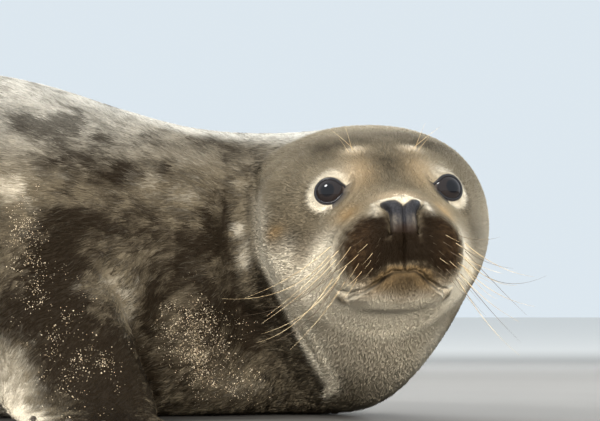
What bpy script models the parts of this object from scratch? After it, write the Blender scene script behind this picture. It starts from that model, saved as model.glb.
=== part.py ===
"""Young grey seal, life size, lying on its belly with its head turned to its right.

Metres, +Z up. The trunk lies along X with the head end at +X, and the animal's left is +Y.
The flesh is one lofted body: rings stand across a spine that runs straight through the trunk,
turns through the neck and ends at the muzzle. It is parted into named lengths, and the jaw,
nose, eyes, flippers, tail and claws are cut to meet it with a thin gap.
"""

import math
from collections import namedtuple

import bmesh
import bpy
import numpy as np
from mathutils import Matrix, Vector

# ---- Driving dimensions ----
NECK_TURN = math.radians(84)      # the head looks this far to the animal's right of the trunk
NECK_RADIUS = 0.12                # of the spine's bend
NECK_ARC = NECK_TURN * NECK_RADIUS
AXIS_HEIGHT = 0.160               # of the spine's reference line over the ground
HEAD_PITCH = math.radians(7)
HEAD_ROLL = math.radians(2)       # left side up
EYE_PLANE = NECK_ARC + 0.120      # distance along the spine from the start of the bend to the eyes

EYE_RADIUS = 0.0145
EYE_CENTRE = Vector((0.0010, 0.0450, 0.0125))   # head coordinates: forward, left, up
EYE_AXIS = Vector((0.918, 0.371, 0.139))        # where the left eye looks
LID_RADIUS = 0.0168               # of the bulge of flesh round the eyeball
LID_PLANE = 0.0098                # the lids open on the ball this far ahead of its centre
LID_FLARE = 0.6                   # how fast the opening widens outward

SEGMENTS = 40                     # points round each ring of the body
GAP = 0.0004                      # left between neighbouring solids
WELD = 0.00003                    # cut edges closer than this are made one
LOWER_SWING = 0.06                # the lower face leans this share of its depth to the right

# ---- Body sections ----
# at: along the spine. top, bottom, waist: heights over the reference line, the waist being the
# widest height. half_width: at the waist. fullness above and below the waist: 2 is an ellipse,
# more is boxier.
Section = namedtuple("Section", "at top bottom half_width waist below above")


def on_trunk(at, height, half_width, waist_height, bottom=-0.012, below=2.5):
    """A section of the trunk or neck, given by heights over the ground."""
    return Section(at, height - AXIS_HEIGHT, bottom - AXIS_HEIGHT, half_width,
                   waist_height - AXIS_HEIGHT, below, 2.15)


def on_head(forward, top, bottom, half_width, waist, below=2.0, above=2.0):
    """A section of the head, given from the plane of the eyes."""
    return Section(EYE_PLANE + forward, top, bottom, half_width, waist, below, above)


SECTIONS = [
    on_trunk(-0.755, 0.110, 0.034, 0.068, 0.022, 2.15),    # root of the tail
    on_trunk(-0.700, 0.149, 0.066, 0.072, -0.002, 2.15),   # ankles
    on_trunk(-0.620, 0.201, 0.108, 0.086),             # hips
    on_trunk(-0.520, 0.253, 0.144, 0.104),             # loins
    on_trunk(-0.400, 0.297, 0.171, 0.120),             # belly
    on_trunk(-0.270, 0.313, 0.180, 0.128),             # greatest girth
    on_trunk(-0.180, 0.300, 0.172, 0.130),             # behind the shoulders
    on_trunk(-0.090, 0.272, 0.156, 0.130),             # shoulders
    on_trunk(-0.020, 0.2555, 0.140, 0.130),            # front of the shoulders
    on_trunk(0.050, 0.2530, 0.124, 0.134, -0.008, 2.1),    # base of the neck
    on_trunk(0.110, 0.2535, 0.112, 0.146, 0.000, 1.7),     # bend of the neck
    on_head(-0.120, 0.094, -0.155, 0.1050, 0.002, 1.48, 2.2),   # nape
    on_head(-0.090, 0.087, -0.137, 0.1005, 0.000, 1.50, 2.3),
    on_head(-0.050, 0.073, -0.112, 0.0910, -0.006, 1.75, 2.3),  # ears
    on_head(-0.020, 0.059, -0.099, 0.0780, -0.018, 2.10, 2.2),
    on_head(0.000, 0.046, -0.094, 0.0680, -0.026, 2.30, 2.1),   # eyes
    on_head(0.020, 0.029, -0.091, 0.0585, -0.036, 2.50),
    on_head(0.040, 0.011, -0.090, 0.0525, -0.040, 2.70),   # root of the muzzle
    on_head(0.060, -0.0025, -0.088, 0.0480, -0.043, 2.60),
    on_head(0.075, -0.0125, -0.081, 0.0400, -0.045, 2.40),
    on_head(0.083, -0.0210, -0.071, 0.0280, -0.046, 2.20),
    on_head(0.087, -0.0300, -0.062, 0.0150, -0.046),   # front of the muzzle
]

# Swellings and hollows that the sections leave out. centre, reach and push are in head
# coordinates; a form off the midline is made on both sides.
Form = namedtuple("Form", "centre reach push")
HEAD_FORMS = [
    Form((0.062, 0.028, -0.040), (0.022, 0.020, 0.026), (0.005, 0.0060, 0.000)),   # whisker pads
    Form((0.070, 0.010, -0.052), (0.020, 0.018, 0.018), (0.004, 0.0000, 0.000)),   # upper lip
    Form((0.010, 0.036, 0.036), (0.020, 0.016, 0.014), (0.002, 0.0010, 0.003)),    # brows
    Form((0.034, 0.034, -0.002), (0.016, 0.016, 0.016), (-0.003, -0.006, 0.000)),  # before the eyes
    Form((-0.030, 0.078, -0.035), (0.040, 0.030, 0.035), (0.000, 0.0040, 0.000)),  # cheeks
    Form((0.074, 0.000, -0.012), (0.014, 0.015, 0.012), (0.003, 0.0000, 0.003)),   # nose
    Form((0.068, 0.000, -0.078), (0.016, 0.024, 0.012), (0.003, 0.0000, -0.002)),  # chin
    Form((0.030, 0.000, -0.094), (0.012, 0.045, 0.015), (0.000, 0.0000, 0.004)),   # under the jaw
    Form((0.086, 0.000, -0.045), (0.020, 0.004, 0.022), (-0.003, 0.0000, 0.000)),  # midline groove
]

# ---- Lengths that the body is parted into: name, start and end along the spine, ring spacing ----
PARTS = [
    ("hindquarters", -0.755, -0.520, 0.030),
    ("abdomen", -0.520, -0.230, 0.037),
    ("chest", -0.230, 0.015, 0.031),
    ("neck", 0.015, NECK_ARC + 0.012, 0.017),
    ("head", NECK_ARC + 0.012, EYE_PLANE + 0.087, 0.0082),
]

# ---- Mouth and nose, in head coordinates ----
# The lip line from its corner to ahead of the muzzle, as (forward, up).
LIP_LINE = [(0.040, -0.0735), (0.066, -0.0738), (0.0765, -0.0720), (0.0815, -0.0665),
            (0.0850, -0.0625), (0.098, -0.0600)]
JAW_HEEL = (0.026, -0.120)        # where the jaw's back edge meets the throat
# Half the outline of the nose pad seen from ahead, from its top down, as (left, up).
NOSE_OUTLINE = [(0.0, -0.0085), (0.010, -0.0062), (0.0165, -0.0078), (0.0180, -0.0120),
                (0.0160, -0.0190), (0.0115, -0.0270), (0.0085, -0.0350), (0.0050, -0.0400)]
NOSE_REACH = (0.064, 0.105)       # depth of the pad, along the head

# ---- Flippers ----
FORE_CLAW_LENGTH = 0.030
HIND_CLAW_LENGTH = 0.013
WEB_DEPTH = 0.006                 # how far the web's edge lies behind the digits' ends
EDGE_DEPTH = 0.014                # the same, for the flipper's two outer edges

# ---- Colours: linear RGB and roughness ----
COLOURS = {
    "coat": ((0.165, 0.140, 0.108), 0.80),
    "pale_coat": ((0.420, 0.350, 0.250), 0.80),
    "nose": ((0.018, 0.018, 0.021), 0.45),
    "eye": ((0.006, 0.005, 0.006), 0.06),
    "claw": ((0.035, 0.030, 0.026), 0.40),
}


# ---- The spine and its rings ----
def eased(value, low, high):
    """0 at low, 1 at high, with a smooth start and end."""
    share = min(max((value - low) / (high - low), 0.0), 1.0)
    return share * share * (3 - 2 * share)


def head_share(at):
    """How far the neck has taken on the set of the head: 0 in the trunk, 1 in the head."""
    return eased(at, 0.6 * NECK_ARC, EYE_PLANE - 0.06)


def spine_frame(at):
    """(place, forward, left, up) of the reference line at a distance along the spine."""
    angle = min(max(at, 0.0), NECK_ARC) / NECK_RADIUS
    ahead = Vector((math.cos(angle), -math.sin(angle), 0))
    place = Vector((min(at, 0.0), 0, AXIS_HEIGHT))
    place += NECK_RADIUS * Vector((math.sin(angle), math.cos(angle) - 1, 0))
    along_head = max(at - NECK_ARC, 0.0)
    place += along_head * (ahead * math.cos(HEAD_PITCH) + Vector((0, 0, math.sin(HEAD_PITCH))))
    turned = head_share(at)
    left = Vector((math.sin(angle), math.cos(angle), 0))
    pitch = Matrix.Rotation(-HEAD_PITCH * turned, 3, left)
    forward = pitch @ ahead
    roll = Matrix.Rotation(HEAD_ROLL * turned, 3, forward)
    left = roll @ left
    return place, forward, left, forward.cross(left)


HEAD_FRAME = spine_frame(EYE_PLANE)


def lean(up):
    """Sideways shift of the face at a height over the reference line."""
    return LOWER_SWING * min(up, 0.0)


def head_point(forward, left, up):
    """World place of a point given in head coordinates."""
    place, ahead, side, high = HEAD_FRAME
    return place + ahead * forward + side * (left + lean(up)) + high * up


def head_direction(forward, left, up):
    _, ahead, side, high = HEAD_FRAME
    return ahead * forward + side * left + high * up


def in_head(point):
    """Head coordinates of a world point."""
    place, ahead, side, high = HEAD_FRAME
    offset = point - place
    up = offset.dot(high)
    return Vector((offset.dot(ahead), offset.dot(side) - lean(up), up))


def eased_curve(xs, ys):
    """A function through the points that never overshoots between two of them."""
    steps = np.diff(xs)
    slopes = np.diff(ys) / steps
    tangents = np.zeros(len(xs))
    tangents[0], tangents[-1] = slopes[0], slopes[-1]
    same_way = slopes[:-1] * slopes[1:] > 0
    weights = (2 * steps[1:] + steps[:-1], steps[1:] + 2 * steps[:-1])
    safe = np.where(same_way[:, None], np.stack([slopes[:-1], slopes[1:]], axis=1), 1.0)
    mean = (weights[0] + weights[1]) / (weights[0] / safe[:, 0] + weights[1] / safe[:, 1])
    tangents[1:-1] = np.where(same_way, mean, 0.0)

    def curve(x):
        i = int(np.clip(np.searchsorted(xs, x) - 1, 0, len(steps) - 1))
        t = (x - xs[i]) / steps[i]
        return float(ys[i] * (1 + 2 * t) * (1 - t) ** 2 + ys[i + 1] * t * t * (3 - 2 * t)
                     + steps[i] * t * (1 - t) * (tangents[i] * (1 - t) - tangents[i + 1] * t))

    return curve


SECTION_CURVES = {
    name: eased_curve([s.at for s in SECTIONS], [getattr(s, name) for s in SECTIONS])
    for name in Section._fields[1:]
}


def shaped(point):
    """A point of the head, pushed by the swellings and hollows."""
    local = in_head(point)
    total = Vector((0, 0, 0))
    for form in HEAD_FORMS:
        for side in (1, -1) if form.centre[1] else (1,):
            centre = Vector((form.centre[0], side * form.centre[1], form.centre[2]))
            away = local - centre
            spread = sum((a / r) ** 2 for a, r in zip(away, form.reach, strict=True))
            push = Vector((form.push[0], side * form.push[1], form.push[2]))
            total += push * math.exp(-spread)
    return point + head_direction(*total)


def body_ring(at):
    """The points of one ring, counter-clockwise as seen from ahead."""
    size = {name: curve(at) for name, curve in SECTION_CURVES.items()}
    place, _, left, up = spine_frame(at)
    ring = []
    for k in range(SEGMENTS):
        angle = 2 * math.pi * (k + 0.5) / SEGMENTS
        power = 2 / (size["above"] if math.sin(angle) > 0 else size["below"])
        across = math.copysign(abs(math.cos(angle)) ** power, math.cos(angle))
        rise = math.copysign(abs(math.sin(angle)) ** power, math.sin(angle))
        reach = size["top"] - size["waist"] if rise > 0 else size["waist"] - size["bottom"]
        height = size["waist"] + rise * reach
        sideways = size["half_width"] * across + head_share(at) * lean(height)
        point = place + left * sideways + up * height
        if at > NECK_ARC:
            point = shaped(point)
        point.z = max(point.z, 0.0)
        ring.append(point)
    return ring


# ---- Making and cutting objects ----
def add_object(name, mesh, colour=None):
    made = bpy.data.objects.new(name, mesh)
    bpy.context.scene.collection.objects.link(made)
    if colour:
        mesh.materials.clear()
        mesh.materials.append(material(colour))
    return made


def material(name):
    found = bpy.data.materials.get(name)
    if found:
        return found
    found = bpy.data.materials.new(name)
    found.use_nodes = True
    colour, roughness = COLOURS[name]
    shader = found.node_tree.nodes["Principled BSDF"]
    shader.inputs["Base Color"].default_value = (*colour, 1)
    shader.inputs["Roughness"].default_value = roughness
    shader.inputs["Metallic"].default_value = 0.0
    return found


def loft(name, rings, colour=None, pointed=False):
    """A closed solid through rings of equal length. pointed ends it in one point."""
    bm = bmesh.new()
    loops = [[bm.verts.new(p) for p in ring] for ring in rings]
    count = len(loops[0])
    for near, far in zip(loops, loops[1:]):
        for k in range(count):
            bm.faces.new((near[k], near[(k + 1) % count], far[(k + 1) % count], far[k]))
    bm.faces.new(list(reversed(loops[0])))
    if pointed:
        tip = bm.verts.new(sum(rings[-1], Vector()) / count)
        for k in range(count):
            bm.faces.new((loops[-1][k], loops[-1][(k + 1) % count], tip))
    else:
        bm.faces.new(loops[-1])
    bmesh.ops.recalc_face_normals(bm, faces=bm.faces)
    bmesh.ops.triangulate(bm, faces=[f for f in bm.faces if len(f.verts) > 4])
    mesh = bpy.data.meshes.new(name)
    bm.to_mesh(mesh)
    bm.free()
    mesh.shade_smooth()
    return add_object(name, mesh, colour)


def swollen(source, amount):
    """A helper copy of a solid, pushed out along its normals."""
    mesh = source.data.copy()
    moved = [v.co + v.normal * amount for v in mesh.vertices]
    for vertex, place in zip(mesh.vertices, moved, strict=True):
        vertex.co = place
    return add_object(source.name + "_swollen", mesh)


def combine(target, other, operation):
    """Cuts, joins or intersects target with other, for good."""
    modifier = target.modifiers.new("combine", "BOOLEAN")
    modifier.operation = operation
    modifier.solver = "EXACT"
    modifier.object = other
    bpy.context.view_layer.update()
    graph = bpy.context.evaluated_depsgraph_get()
    mesh = bpy.data.meshes.new_from_object(target.evaluated_get(graph), depsgraph=graph)
    target.modifiers.remove(modifier)
    bm = bmesh.new()
    bm.from_mesh(mesh)
    bmesh.ops.remove_doubles(bm, verts=bm.verts, dist=WELD)
    bmesh.ops.dissolve_degenerate(bm, edges=bm.edges, dist=WELD)
    bm.to_mesh(mesh)
    bm.free()
    target.data = mesh


def discard(obj):
    bpy.data.objects.remove(obj)


def cut_by(target, source, amount=GAP):
    """Cuts target back to stand clear of source."""
    helper = swollen(source, amount)
    combine(target, helper, "DIFFERENCE")
    discard(helper)


def ellipsoid(name, centre, radii, frame, segments=24, rings=14):
    bm = bmesh.new()
    bmesh.ops.create_uvsphere(bm, u_segments=segments, v_segments=rings, radius=1)
    mesh = bpy.data.meshes.new(name)
    place = Matrix.Translation(centre) @ frame.to_4x4() @ Matrix.Diagonal((*radii, 1))
    bm.transform(place)
    bm.to_mesh(mesh)
    bm.free()
    mesh.shade_smooth()
    return add_object(name, mesh)


# ---- The flesh of trunk, neck and head ----
def make_body():
    made = {}
    for name, start, end, spacing in PARTS:
        first = start if name == "hindquarters" else start + GAP
        count = round((end - start) / spacing)
        stops = [first + (end - first) * k / count for k in range(count + 1)]
        if name == "head":
            stops = muzzle_stops(stops)
        made[name] = loft(name, [body_ring(s) for s in stops], "coat", pointed=name == "head")
    return made


def muzzle_stops(stops):
    """Crowds the head's last rings, where the muzzle rounds off."""
    length = stops[-1] - stops[0]
    return [stops[0] + length * math.sin(0.5 * math.pi * (s - stops[0]) / length) ** 0.8
            if s > stops[0] else s for s in stops]


# ---- Jaw and nose ----
def jaw_block(gap):
    """The space below the lip line and ahead of the jaw's heel."""
    outline = [*LIP_LINE, (LIP_LINE[-1][0], JAW_HEEL[1]), JAW_HEEL]
    half = 0.080
    rings = [[head_point(f - gap, side, u + gap) for f, u in outline] for side in (-half, half)]
    return loft("jaw_block", rings)


def nose_block(gap):
    """The space of the nose pad, running back into the muzzle."""
    half = [Vector(p) for p in NOSE_OUTLINE]
    outline = half + [Vector((-p.x, p.y)) for p in reversed(half) if p.x]
    middle = sum(outline, Vector((0, 0))) / len(outline)
    grown = [p + (p - middle).normalized() * gap for p in outline]
    rings = [[head_point(f - gap, p.x, p.y) for p in grown] for f in NOSE_REACH]
    return loft("nose_block", rings)


def part_from(flesh, name, colour, block):
    """Makes the flesh inside a block a part of its own, and clears the rest from it."""
    inner, outer = block(0), block(GAP)
    made = add_object(name, flesh.data.copy(), colour)
    combine(made, inner, "INTERSECT")
    combine(flesh, outer, "DIFFERENCE")
    discard(inner)
    discard(outer)
    return made


# ---- Eyes ----
def part_eyes(head):
    """Sets each eye in a bulge of flesh whose lids open on the front of the ball."""
    for name, side in (("eye_left", 1), ("eye_right", -1)):
        place = head_point(EYE_CENTRE.x, side * EYE_CENTRE.y, EYE_CENTRE.z)
        axis = head_direction(EYE_AXIS.x, side * EYE_AXIS.y, EYE_AXIS.z).normalized()
        frame = axis.to_track_quat("Z", "Y").to_matrix()
        bulge = ellipsoid("bulge", place, [LID_RADIUS] * 3, frame, 22, 13)
        combine(head, bulge, "UNION")
        socket = ellipsoid("socket", place, [EYE_RADIUS + GAP] * 3, frame, 20, 12)
        opening = lid_opening(place, axis, frame)
        combine(socket, opening, "UNION")
        combine(head, socket, "DIFFERENCE")
        for helper in (bulge, opening, socket):
            discard(helper)
        eye = ellipsoid(name, place, [EYE_RADIUS] * 3, frame, 18, 11)
        eye.data.materials.append(material("eye"))


def lid_opening(place, axis, frame):
    """A cone that widens outward from the plane of the lids."""
    inner = math.sqrt(EYE_RADIUS ** 2 - LID_PLANE ** 2) - 0.001
    depth = 0.022
    sides = 24
    rings = []
    for ahead in (0, depth):
        radius = inner + ahead * LID_FLARE
        centre = place + axis * (LID_PLANE + ahead)
        turns = [2 * math.pi * (k + 0.4) / sides for k in range(sides)]
        rings.append([centre + frame @ Vector((radius * math.cos(a), radius * math.sin(a), 0))
                      for a in turns])
    return loft("opening", rings)


# ---- Flippers ----
# A limb is a chain of joints: place, half width, half thickness. Its rings stand across the
# chain, and the last stretch spreads into five webbed digits, the leading one first.
Joint = namedtuple("Joint", "place half_width half_thickness")
DIGITS = (0.8, 0.4, 0.0, -0.4, -0.8)      # places of the digits across the breadth
ACROSS = [1 - 0.2 * k for k in range(11)]  # digits, the webs between them and both edges


def tip_reaches(digit_reach):
    """How far each place in ACROSS runs on beyond the last joint."""
    reach = [0.0] * len(ACROSS)
    reach[1::2] = digit_reach
    for k in range(2, len(ACROSS) - 1, 2):
        reach[k] = (reach[k - 1] + reach[k + 1]) / 2 - WEB_DEPTH
    reach[0] = digit_reach[0] - EDGE_DEPTH
    reach[-1] = digit_reach[-1] - EDGE_DEPTH
    return reach


def limb_rings(joints, broad, hand_from, digit_reach, stops=13):
    """Rings of a limb. broad is the direction of its breadth, and hand_from the share of its
    length where the digits start, which then run on by digit_reach."""
    shares = np.linspace(0, 1, len(joints))
    curves = [eased_curve(shares, [j.place[i] for j in joints]) for i in range(3)]
    widths = eased_curve(shares, [j.half_width for j in joints])
    depths = eased_curve(shares, [j.half_thickness for j in joints])
    reaches = tip_reaches(digit_reach)
    count = len(ACROSS)
    rings = []
    for share in np.linspace(0, 1, stops):
        place = Vector([c(share) for c in curves])
        ahead = Vector([c(min(share + 0.02, 1)) - c(max(share - 0.02, 0)) for c in curves])
        ahead.normalize()
        across = (broad - ahead * broad.dot(ahead)).normalized()
        normal = across.cross(ahead)
        spread = eased(share, hand_from, 1.0)
        ring = []
        for k in [*range(count), *range(count - 2, 0, -1)]:
            t = ACROSS[k]
            face = 1 if len(ring) < count else -1
            between = k % 2 == 0 and 0 < k < count - 1
            rise = face * depths(share) * math.sqrt(1 - t ** 4) * (1 - 0.45 * spread * between)
            point = place + across * widths(share) * t + normal * rise
            point += ahead * reaches[k] * spread
            point.z = max(point.z, 0.0)
            ring.append(point)
        rings.append(ring)
    return rings


def claw(name, tip, direction, upward, length, flipper):
    """A curved claw that grows out of the top of a digit."""
    upward = upward if upward.z > 0 else -upward
    sides, steps = 7, 4
    rings = []
    side = direction.cross(upward).normalized()
    for k in range(steps):
        share = k / (steps - 0.4)
        centre = tip + direction * length * (share - 0.32)
        centre += upward * (0.0022 + 0.0035 * math.sin(math.pi * (share * 0.8 + 0.1)))
        radius = 0.0034 * (length / FORE_CLAW_LENGTH) ** 0.4 * (1 - share) ** 0.7
        ring = []
        for n in range(sides):
            angle = 2 * math.pi * n / sides
            point = centre + side * radius * math.cos(angle) + upward * radius * math.sin(angle)
            point.z = max(point.z, 0.0006)
            ring.append(point)
        rings.append(ring)
    made = loft(name, rings, "claw", pointed=True)
    cut_by(made, flipper)
    return made


def make_claws(name, joints, broad, digit_reach, length, flipper):
    last, before = Vector(joints[-1].place), Vector(joints[-2].place)
    ahead = (last - before).normalized()
    across = (broad - ahead * broad.dot(ahead)).normalized()
    for k, t in enumerate(DIGITS):
        tip = last + across * joints[-1].half_width * t + ahead * digit_reach[k]
        fanned = (ahead + across * 0.18 * t).normalized()
        claw(f"claw_{name}_{k + 1}", tip, fanned, across.cross(ahead), length, flipper)


def make_flipper(name, joints, broad, hand_from, reach, owner, claw_length):
    flipper = loft(name, limb_rings(joints, broad, hand_from, reach), "coat")
    cut_by(flipper, owner)
    make_claws(name, joints, broad, reach, claw_length, flipper)


def mirrored(joints, side):
    return [j._replace(place=(j.place[0], side * j.place[1], j.place[2])) for j in joints]


FORE_LIMB = [
    Joint((-0.157, 0.100, 0.140), 0.070, 0.042),    # shoulder, inside the chest
    Joint((-0.151, 0.142, 0.110), 0.068, 0.036),    # upper arm
    Joint((-0.137, 0.180, 0.070), 0.067, 0.028),    # elbow
    Joint((-0.119, 0.216, 0.028), 0.066, 0.018),    # wrist
    Joint((-0.105, 0.262, 0.009), 0.061, 0.009),    # knuckles
    Joint((-0.089, 0.318, 0.005), 0.060, 0.005),    # ends of the digits
]
FORE_REACH = [0.030, 0.026, 0.014, -0.002, -0.022]
HIND_LIMB = [
    Joint((-0.660, 0.034, 0.058), 0.038, 0.026),    # shin, inside the hindquarters
    Joint((-0.725, 0.052, 0.048), 0.038, 0.021),    # ankle
    Joint((-0.785, 0.068, 0.044), 0.043, 0.014),    # sole
    Joint((-0.850, 0.084, 0.047), 0.058, 0.0085),   # toes
    Joint((-0.910, 0.098, 0.053), 0.074, 0.0050),   # ends of the toes
]
HIND_REACH = [0.034, 0.006, -0.006, 0.006, 0.034]


def make_limbs(body):
    for side, word in ((1, "left"), (-1, "right")):
        broad = Vector((1, -0.25 * side, 0))
        make_flipper(f"fore_flipper_{word}", mirrored(FORE_LIMB, side), broad, 0.55,
                     FORE_REACH, body["chest"], FORE_CLAW_LENGTH)
        upright = Vector((0, 0.62 * side, 0.78))
        make_flipper(f"hind_flipper_{word}", mirrored(HIND_LIMB, side), upright, 0.35,
                     HIND_REACH, body["hindquarters"], HIND_CLAW_LENGTH)


def plain_rings(joints, broad):
    """Rings of a flattened limb with no digits, one at each joint."""
    sides = 14
    rings = []
    for k, joint in enumerate(joints):
        near, far = joints[max(k - 1, 0)].place, joints[min(k + 1, len(joints) - 1)].place
        ahead = (Vector(far) - Vector(near)).normalized()
        normal = broad.cross(ahead)
        turns = [2 * math.pi * n / sides for n in range(sides)]
        rings.append([Vector(joint.place) + broad * joint.half_width * math.cos(a)
                      + normal * joint.half_thickness * math.sin(a) for a in turns])
    return rings


def make_tail(body):
    joints = [
        Joint((-0.720, 0.0, 0.088), 0.024, 0.016),
        Joint((-0.765, 0.0, 0.082), 0.023, 0.014),
        Joint((-0.800, 0.0, 0.072), 0.019, 0.010),
        Joint((-0.830, 0.0, 0.060), 0.010, 0.005),
    ]
    tail = loft("tail", plain_rings(joints, Vector((0, 1, 0))), "coat")
    cut_by(tail, body["hindquarters"])


def stand_on_origin():
    """Moves everything so that the origin is under the middle of the whole, on the ground."""
    corners = np.array([v.co for o in bpy.data.objects for v in o.data.vertices])
    low, high = corners.min(axis=0), corners.max(axis=0)
    shift = Matrix.Translation((-(low[0] + high[0]) / 2, -(low[1] + high[1]) / 2, -low[2]))
    for obj in bpy.data.objects:
        obj.data.transform(shift)


def main():
    for obj in list(bpy.data.objects):
        bpy.data.objects.remove(obj)
    body = make_body()
    part_eyes(body["head"])
    part_from(body["head"], "nose", "nose", nose_block)
    part_from(body["head"], "lower_jaw", "pale_coat", jaw_block)
    make_limbs(body)
    make_tail(body)
    stand_on_origin()


main()
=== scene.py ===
"""Young grey seal lying on its belly, life size: skin, coat, face, whiskers and claws.

Metres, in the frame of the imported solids. The trunk lies along X with the head end at +X, and the
animal's left is +Y. The head has coordinates of its own: forward, left and up from a point just
under the line between the eyes.
"""

import math

import bmesh
import bpy
import numpy as np
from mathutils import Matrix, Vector
from mathutils.bvhtree import BVHTree


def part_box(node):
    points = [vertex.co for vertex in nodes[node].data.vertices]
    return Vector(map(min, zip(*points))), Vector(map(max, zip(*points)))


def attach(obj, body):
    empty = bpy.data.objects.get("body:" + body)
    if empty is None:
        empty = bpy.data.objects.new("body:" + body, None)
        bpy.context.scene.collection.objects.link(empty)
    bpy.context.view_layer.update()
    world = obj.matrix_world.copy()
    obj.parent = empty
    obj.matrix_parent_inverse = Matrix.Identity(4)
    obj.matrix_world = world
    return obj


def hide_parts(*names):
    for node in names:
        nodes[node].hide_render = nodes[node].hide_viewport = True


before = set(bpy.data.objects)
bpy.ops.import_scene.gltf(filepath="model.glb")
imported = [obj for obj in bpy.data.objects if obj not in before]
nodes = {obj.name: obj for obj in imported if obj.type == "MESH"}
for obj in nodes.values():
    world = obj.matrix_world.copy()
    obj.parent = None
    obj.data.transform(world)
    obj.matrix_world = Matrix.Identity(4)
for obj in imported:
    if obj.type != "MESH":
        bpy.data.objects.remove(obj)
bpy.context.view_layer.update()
rng = np.random.default_rng(7)

# ---- Set of the body, as in the solids ----
HEAD_TURN = math.radians(84)      # the head looks this far to the right of the trunk
HEAD_PITCH = math.radians(7)
NECK_RADIUS = 0.12                # of the spine's bend
NECK_ARC = HEAD_TURN * NECK_RADIUS
EYE_REACH = 0.12                  # from the end of the bend to the plane of the eyes
LOWER_SWING = 0.06                # the lower face leans this share of its depth to the right
EYE_RADIUS = 0.0145
EYE_PLACE = (0.001, 0.045, 0.0125)        # head coordinates of the left eye's centre
EYE_AXIS = np.array((0.918, 0.371, 0.139))      # where the left eye looks
NOSE_TIP = (0.095, 0, -0.02)      # the hair of the head lies away from here
SIDES = (1, -1)
ONE = (1,)                        # for what lies on the midline or on one side only

FLESH = ("hindquarters", "abdomen", "chest", "neck", "head", "lower_jaw", "nose", "tail",
         "fore_flipper_left", "fore_flipper_right", "hind_flipper_left", "hind_flipper_right")
LIMBS = [(limb, side, [f"claw_{limb}_{side}_{n}" for n in range(1, 6)])
         for limb in ("fore_flipper", "hind_flipper") for side in ("left", "right")]


def centre_of(node):
    low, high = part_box(node)
    return np.array((low + high) / 2)


def unit(vectors):
    vectors = np.asarray(vectors, float)
    return vectors / np.maximum(np.linalg.norm(vectors, axis=-1, keepdims=True), 1e-9)


AHEAD = np.array((math.cos(HEAD_TURN), -math.sin(HEAD_TURN), 0))
FORWARD = np.array((AHEAD[0] * math.cos(HEAD_PITCH), AHEAD[1] * math.cos(HEAD_PITCH), math.sin(HEAD_PITCH)))
LEFT = unit(centre_of("eye_left") - centre_of("eye_right"))
UP = np.cross(FORWARD, LEFT)
HEAD_AXES = np.array((FORWARD, LEFT, UP))
MID_EYE = (centre_of("eye_left") + centre_of("eye_right")) / 2
HEAD_ORIGIN = MID_EYE - FORWARD * EYE_PLACE[0] - UP * EYE_PLACE[2]
BEND_START = (HEAD_ORIGIN[0] - NECK_RADIUS * math.sin(HEAD_TURN)
              - EYE_REACH * math.cos(HEAD_TURN) * math.cos(HEAD_PITCH))
BEND_END = np.array((BEND_START + NECK_RADIUS * math.sin(HEAD_TURN),
                     NECK_RADIUS * (math.cos(HEAD_TURN) - 1), 0))
TURN_PIVOT = (0.33, -0.23)        # the coat's lie turns round this point beside the neck


def to_head(points):
    """Head coordinates, with the lower face's lean to the right taken out."""
    places = (np.asarray(points) - HEAD_ORIGIN) @ HEAD_AXES.T
    places[..., 1] -= LOWER_SWING * np.minimum(places[..., 2], 0)
    return places


def from_head(places):
    places = np.array(places, float)
    places[..., 1] += LOWER_SWING * np.minimum(places[..., 2], 0)
    return places @ HEAD_AXES + HEAD_ORIGIN


def eased(value, low, high):
    """0 at low, 1 at high, with a smooth start and end."""
    share = np.clip((value - low) / (high - low), 0, 1)
    return share * share * (3 - 2 * share)


def near(points, centre, reach):
    """1 at centre, fading to nothing over reach in each direction."""
    away = (points - np.asarray(centre)) / np.asarray(reach)
    return np.exp(-(away * away).sum(-1))


def both(points, centre, reach):
    """near, on both sides of the midline."""
    x, y, z = centre
    return near(points, centre, reach) + near(points, (x, -y, z), reach)


def bell(value, width):
    """1 at 0, fading to nothing over width on both sides."""
    return np.exp(-(value / width) ** 2)


def past_bend(points):
    """Which points lie on the head's side of the start of the bend."""
    return points[:, 0] > BEND_START


def seen_from_ahead(places):
    """Distance from the head's midline, and height."""
    return np.stack((np.abs(places[:, 1]), places[:, 2]), -1)


def spine_place(points):
    """Distance along the spine from the start of its bend, and offset to the left."""
    x, y = points[:, 0] - BEND_START, points[:, 1]
    turn = np.arctan2(x, y + NECK_RADIUS)
    along, side = x.copy(), y.copy()
    bend = (x > 0) & (turn < HEAD_TURN)
    along[bend] = NECK_RADIUS * turn[bend]
    side[bend] = np.hypot(x, y + NECK_RADIUS)[bend] - NECK_RADIUS
    past = (x > 0) & ~bend
    rest = points - BEND_END
    along[past] = NECK_ARC + (rest @ AHEAD)[past]
    side[past] = (rest @ np.array((-AHEAD[1], AHEAD[0], 0)))[past]
    return along, side


def neck_turn(points):
    """How far the lie of the coat has turned from the trunk's heading: 0 to HEAD_TURN."""
    x, y = points[:, 0] - TURN_PIVOT[0], points[:, 1] - TURN_PIVOT[1]
    return np.where(x > 0, np.clip(np.arctan2(x, y), 0, HEAD_TURN), 0)


def wobble(points, scale, seed):
    """Smooth, even unevenness between about -1 and 1, with waves of roughly the given length."""
    waves = np.random.default_rng(seed)
    total = np.zeros(len(points))
    for _ in range(6):
        direction = unit(waves.normal(size=3)) * 2 * math.pi / (scale * waves.uniform(0.6, 1.5))
        total += np.sin(points @ direction + waves.uniform(0, 2 * math.pi))
    return total / 2.6


# ---- Meshes ----
def points_of(mesh):
    co = np.empty(len(mesh.vertices) * 3)
    mesh.vertices.foreach_get("co", co)
    return co.reshape(-1, 3)


def normals_of(mesh):
    no = np.empty(len(mesh.vertices) * 3, np.float32)
    mesh.vertex_normals.foreach_get("vector", no)
    return no.reshape(-1, 3).astype(float)


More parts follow.
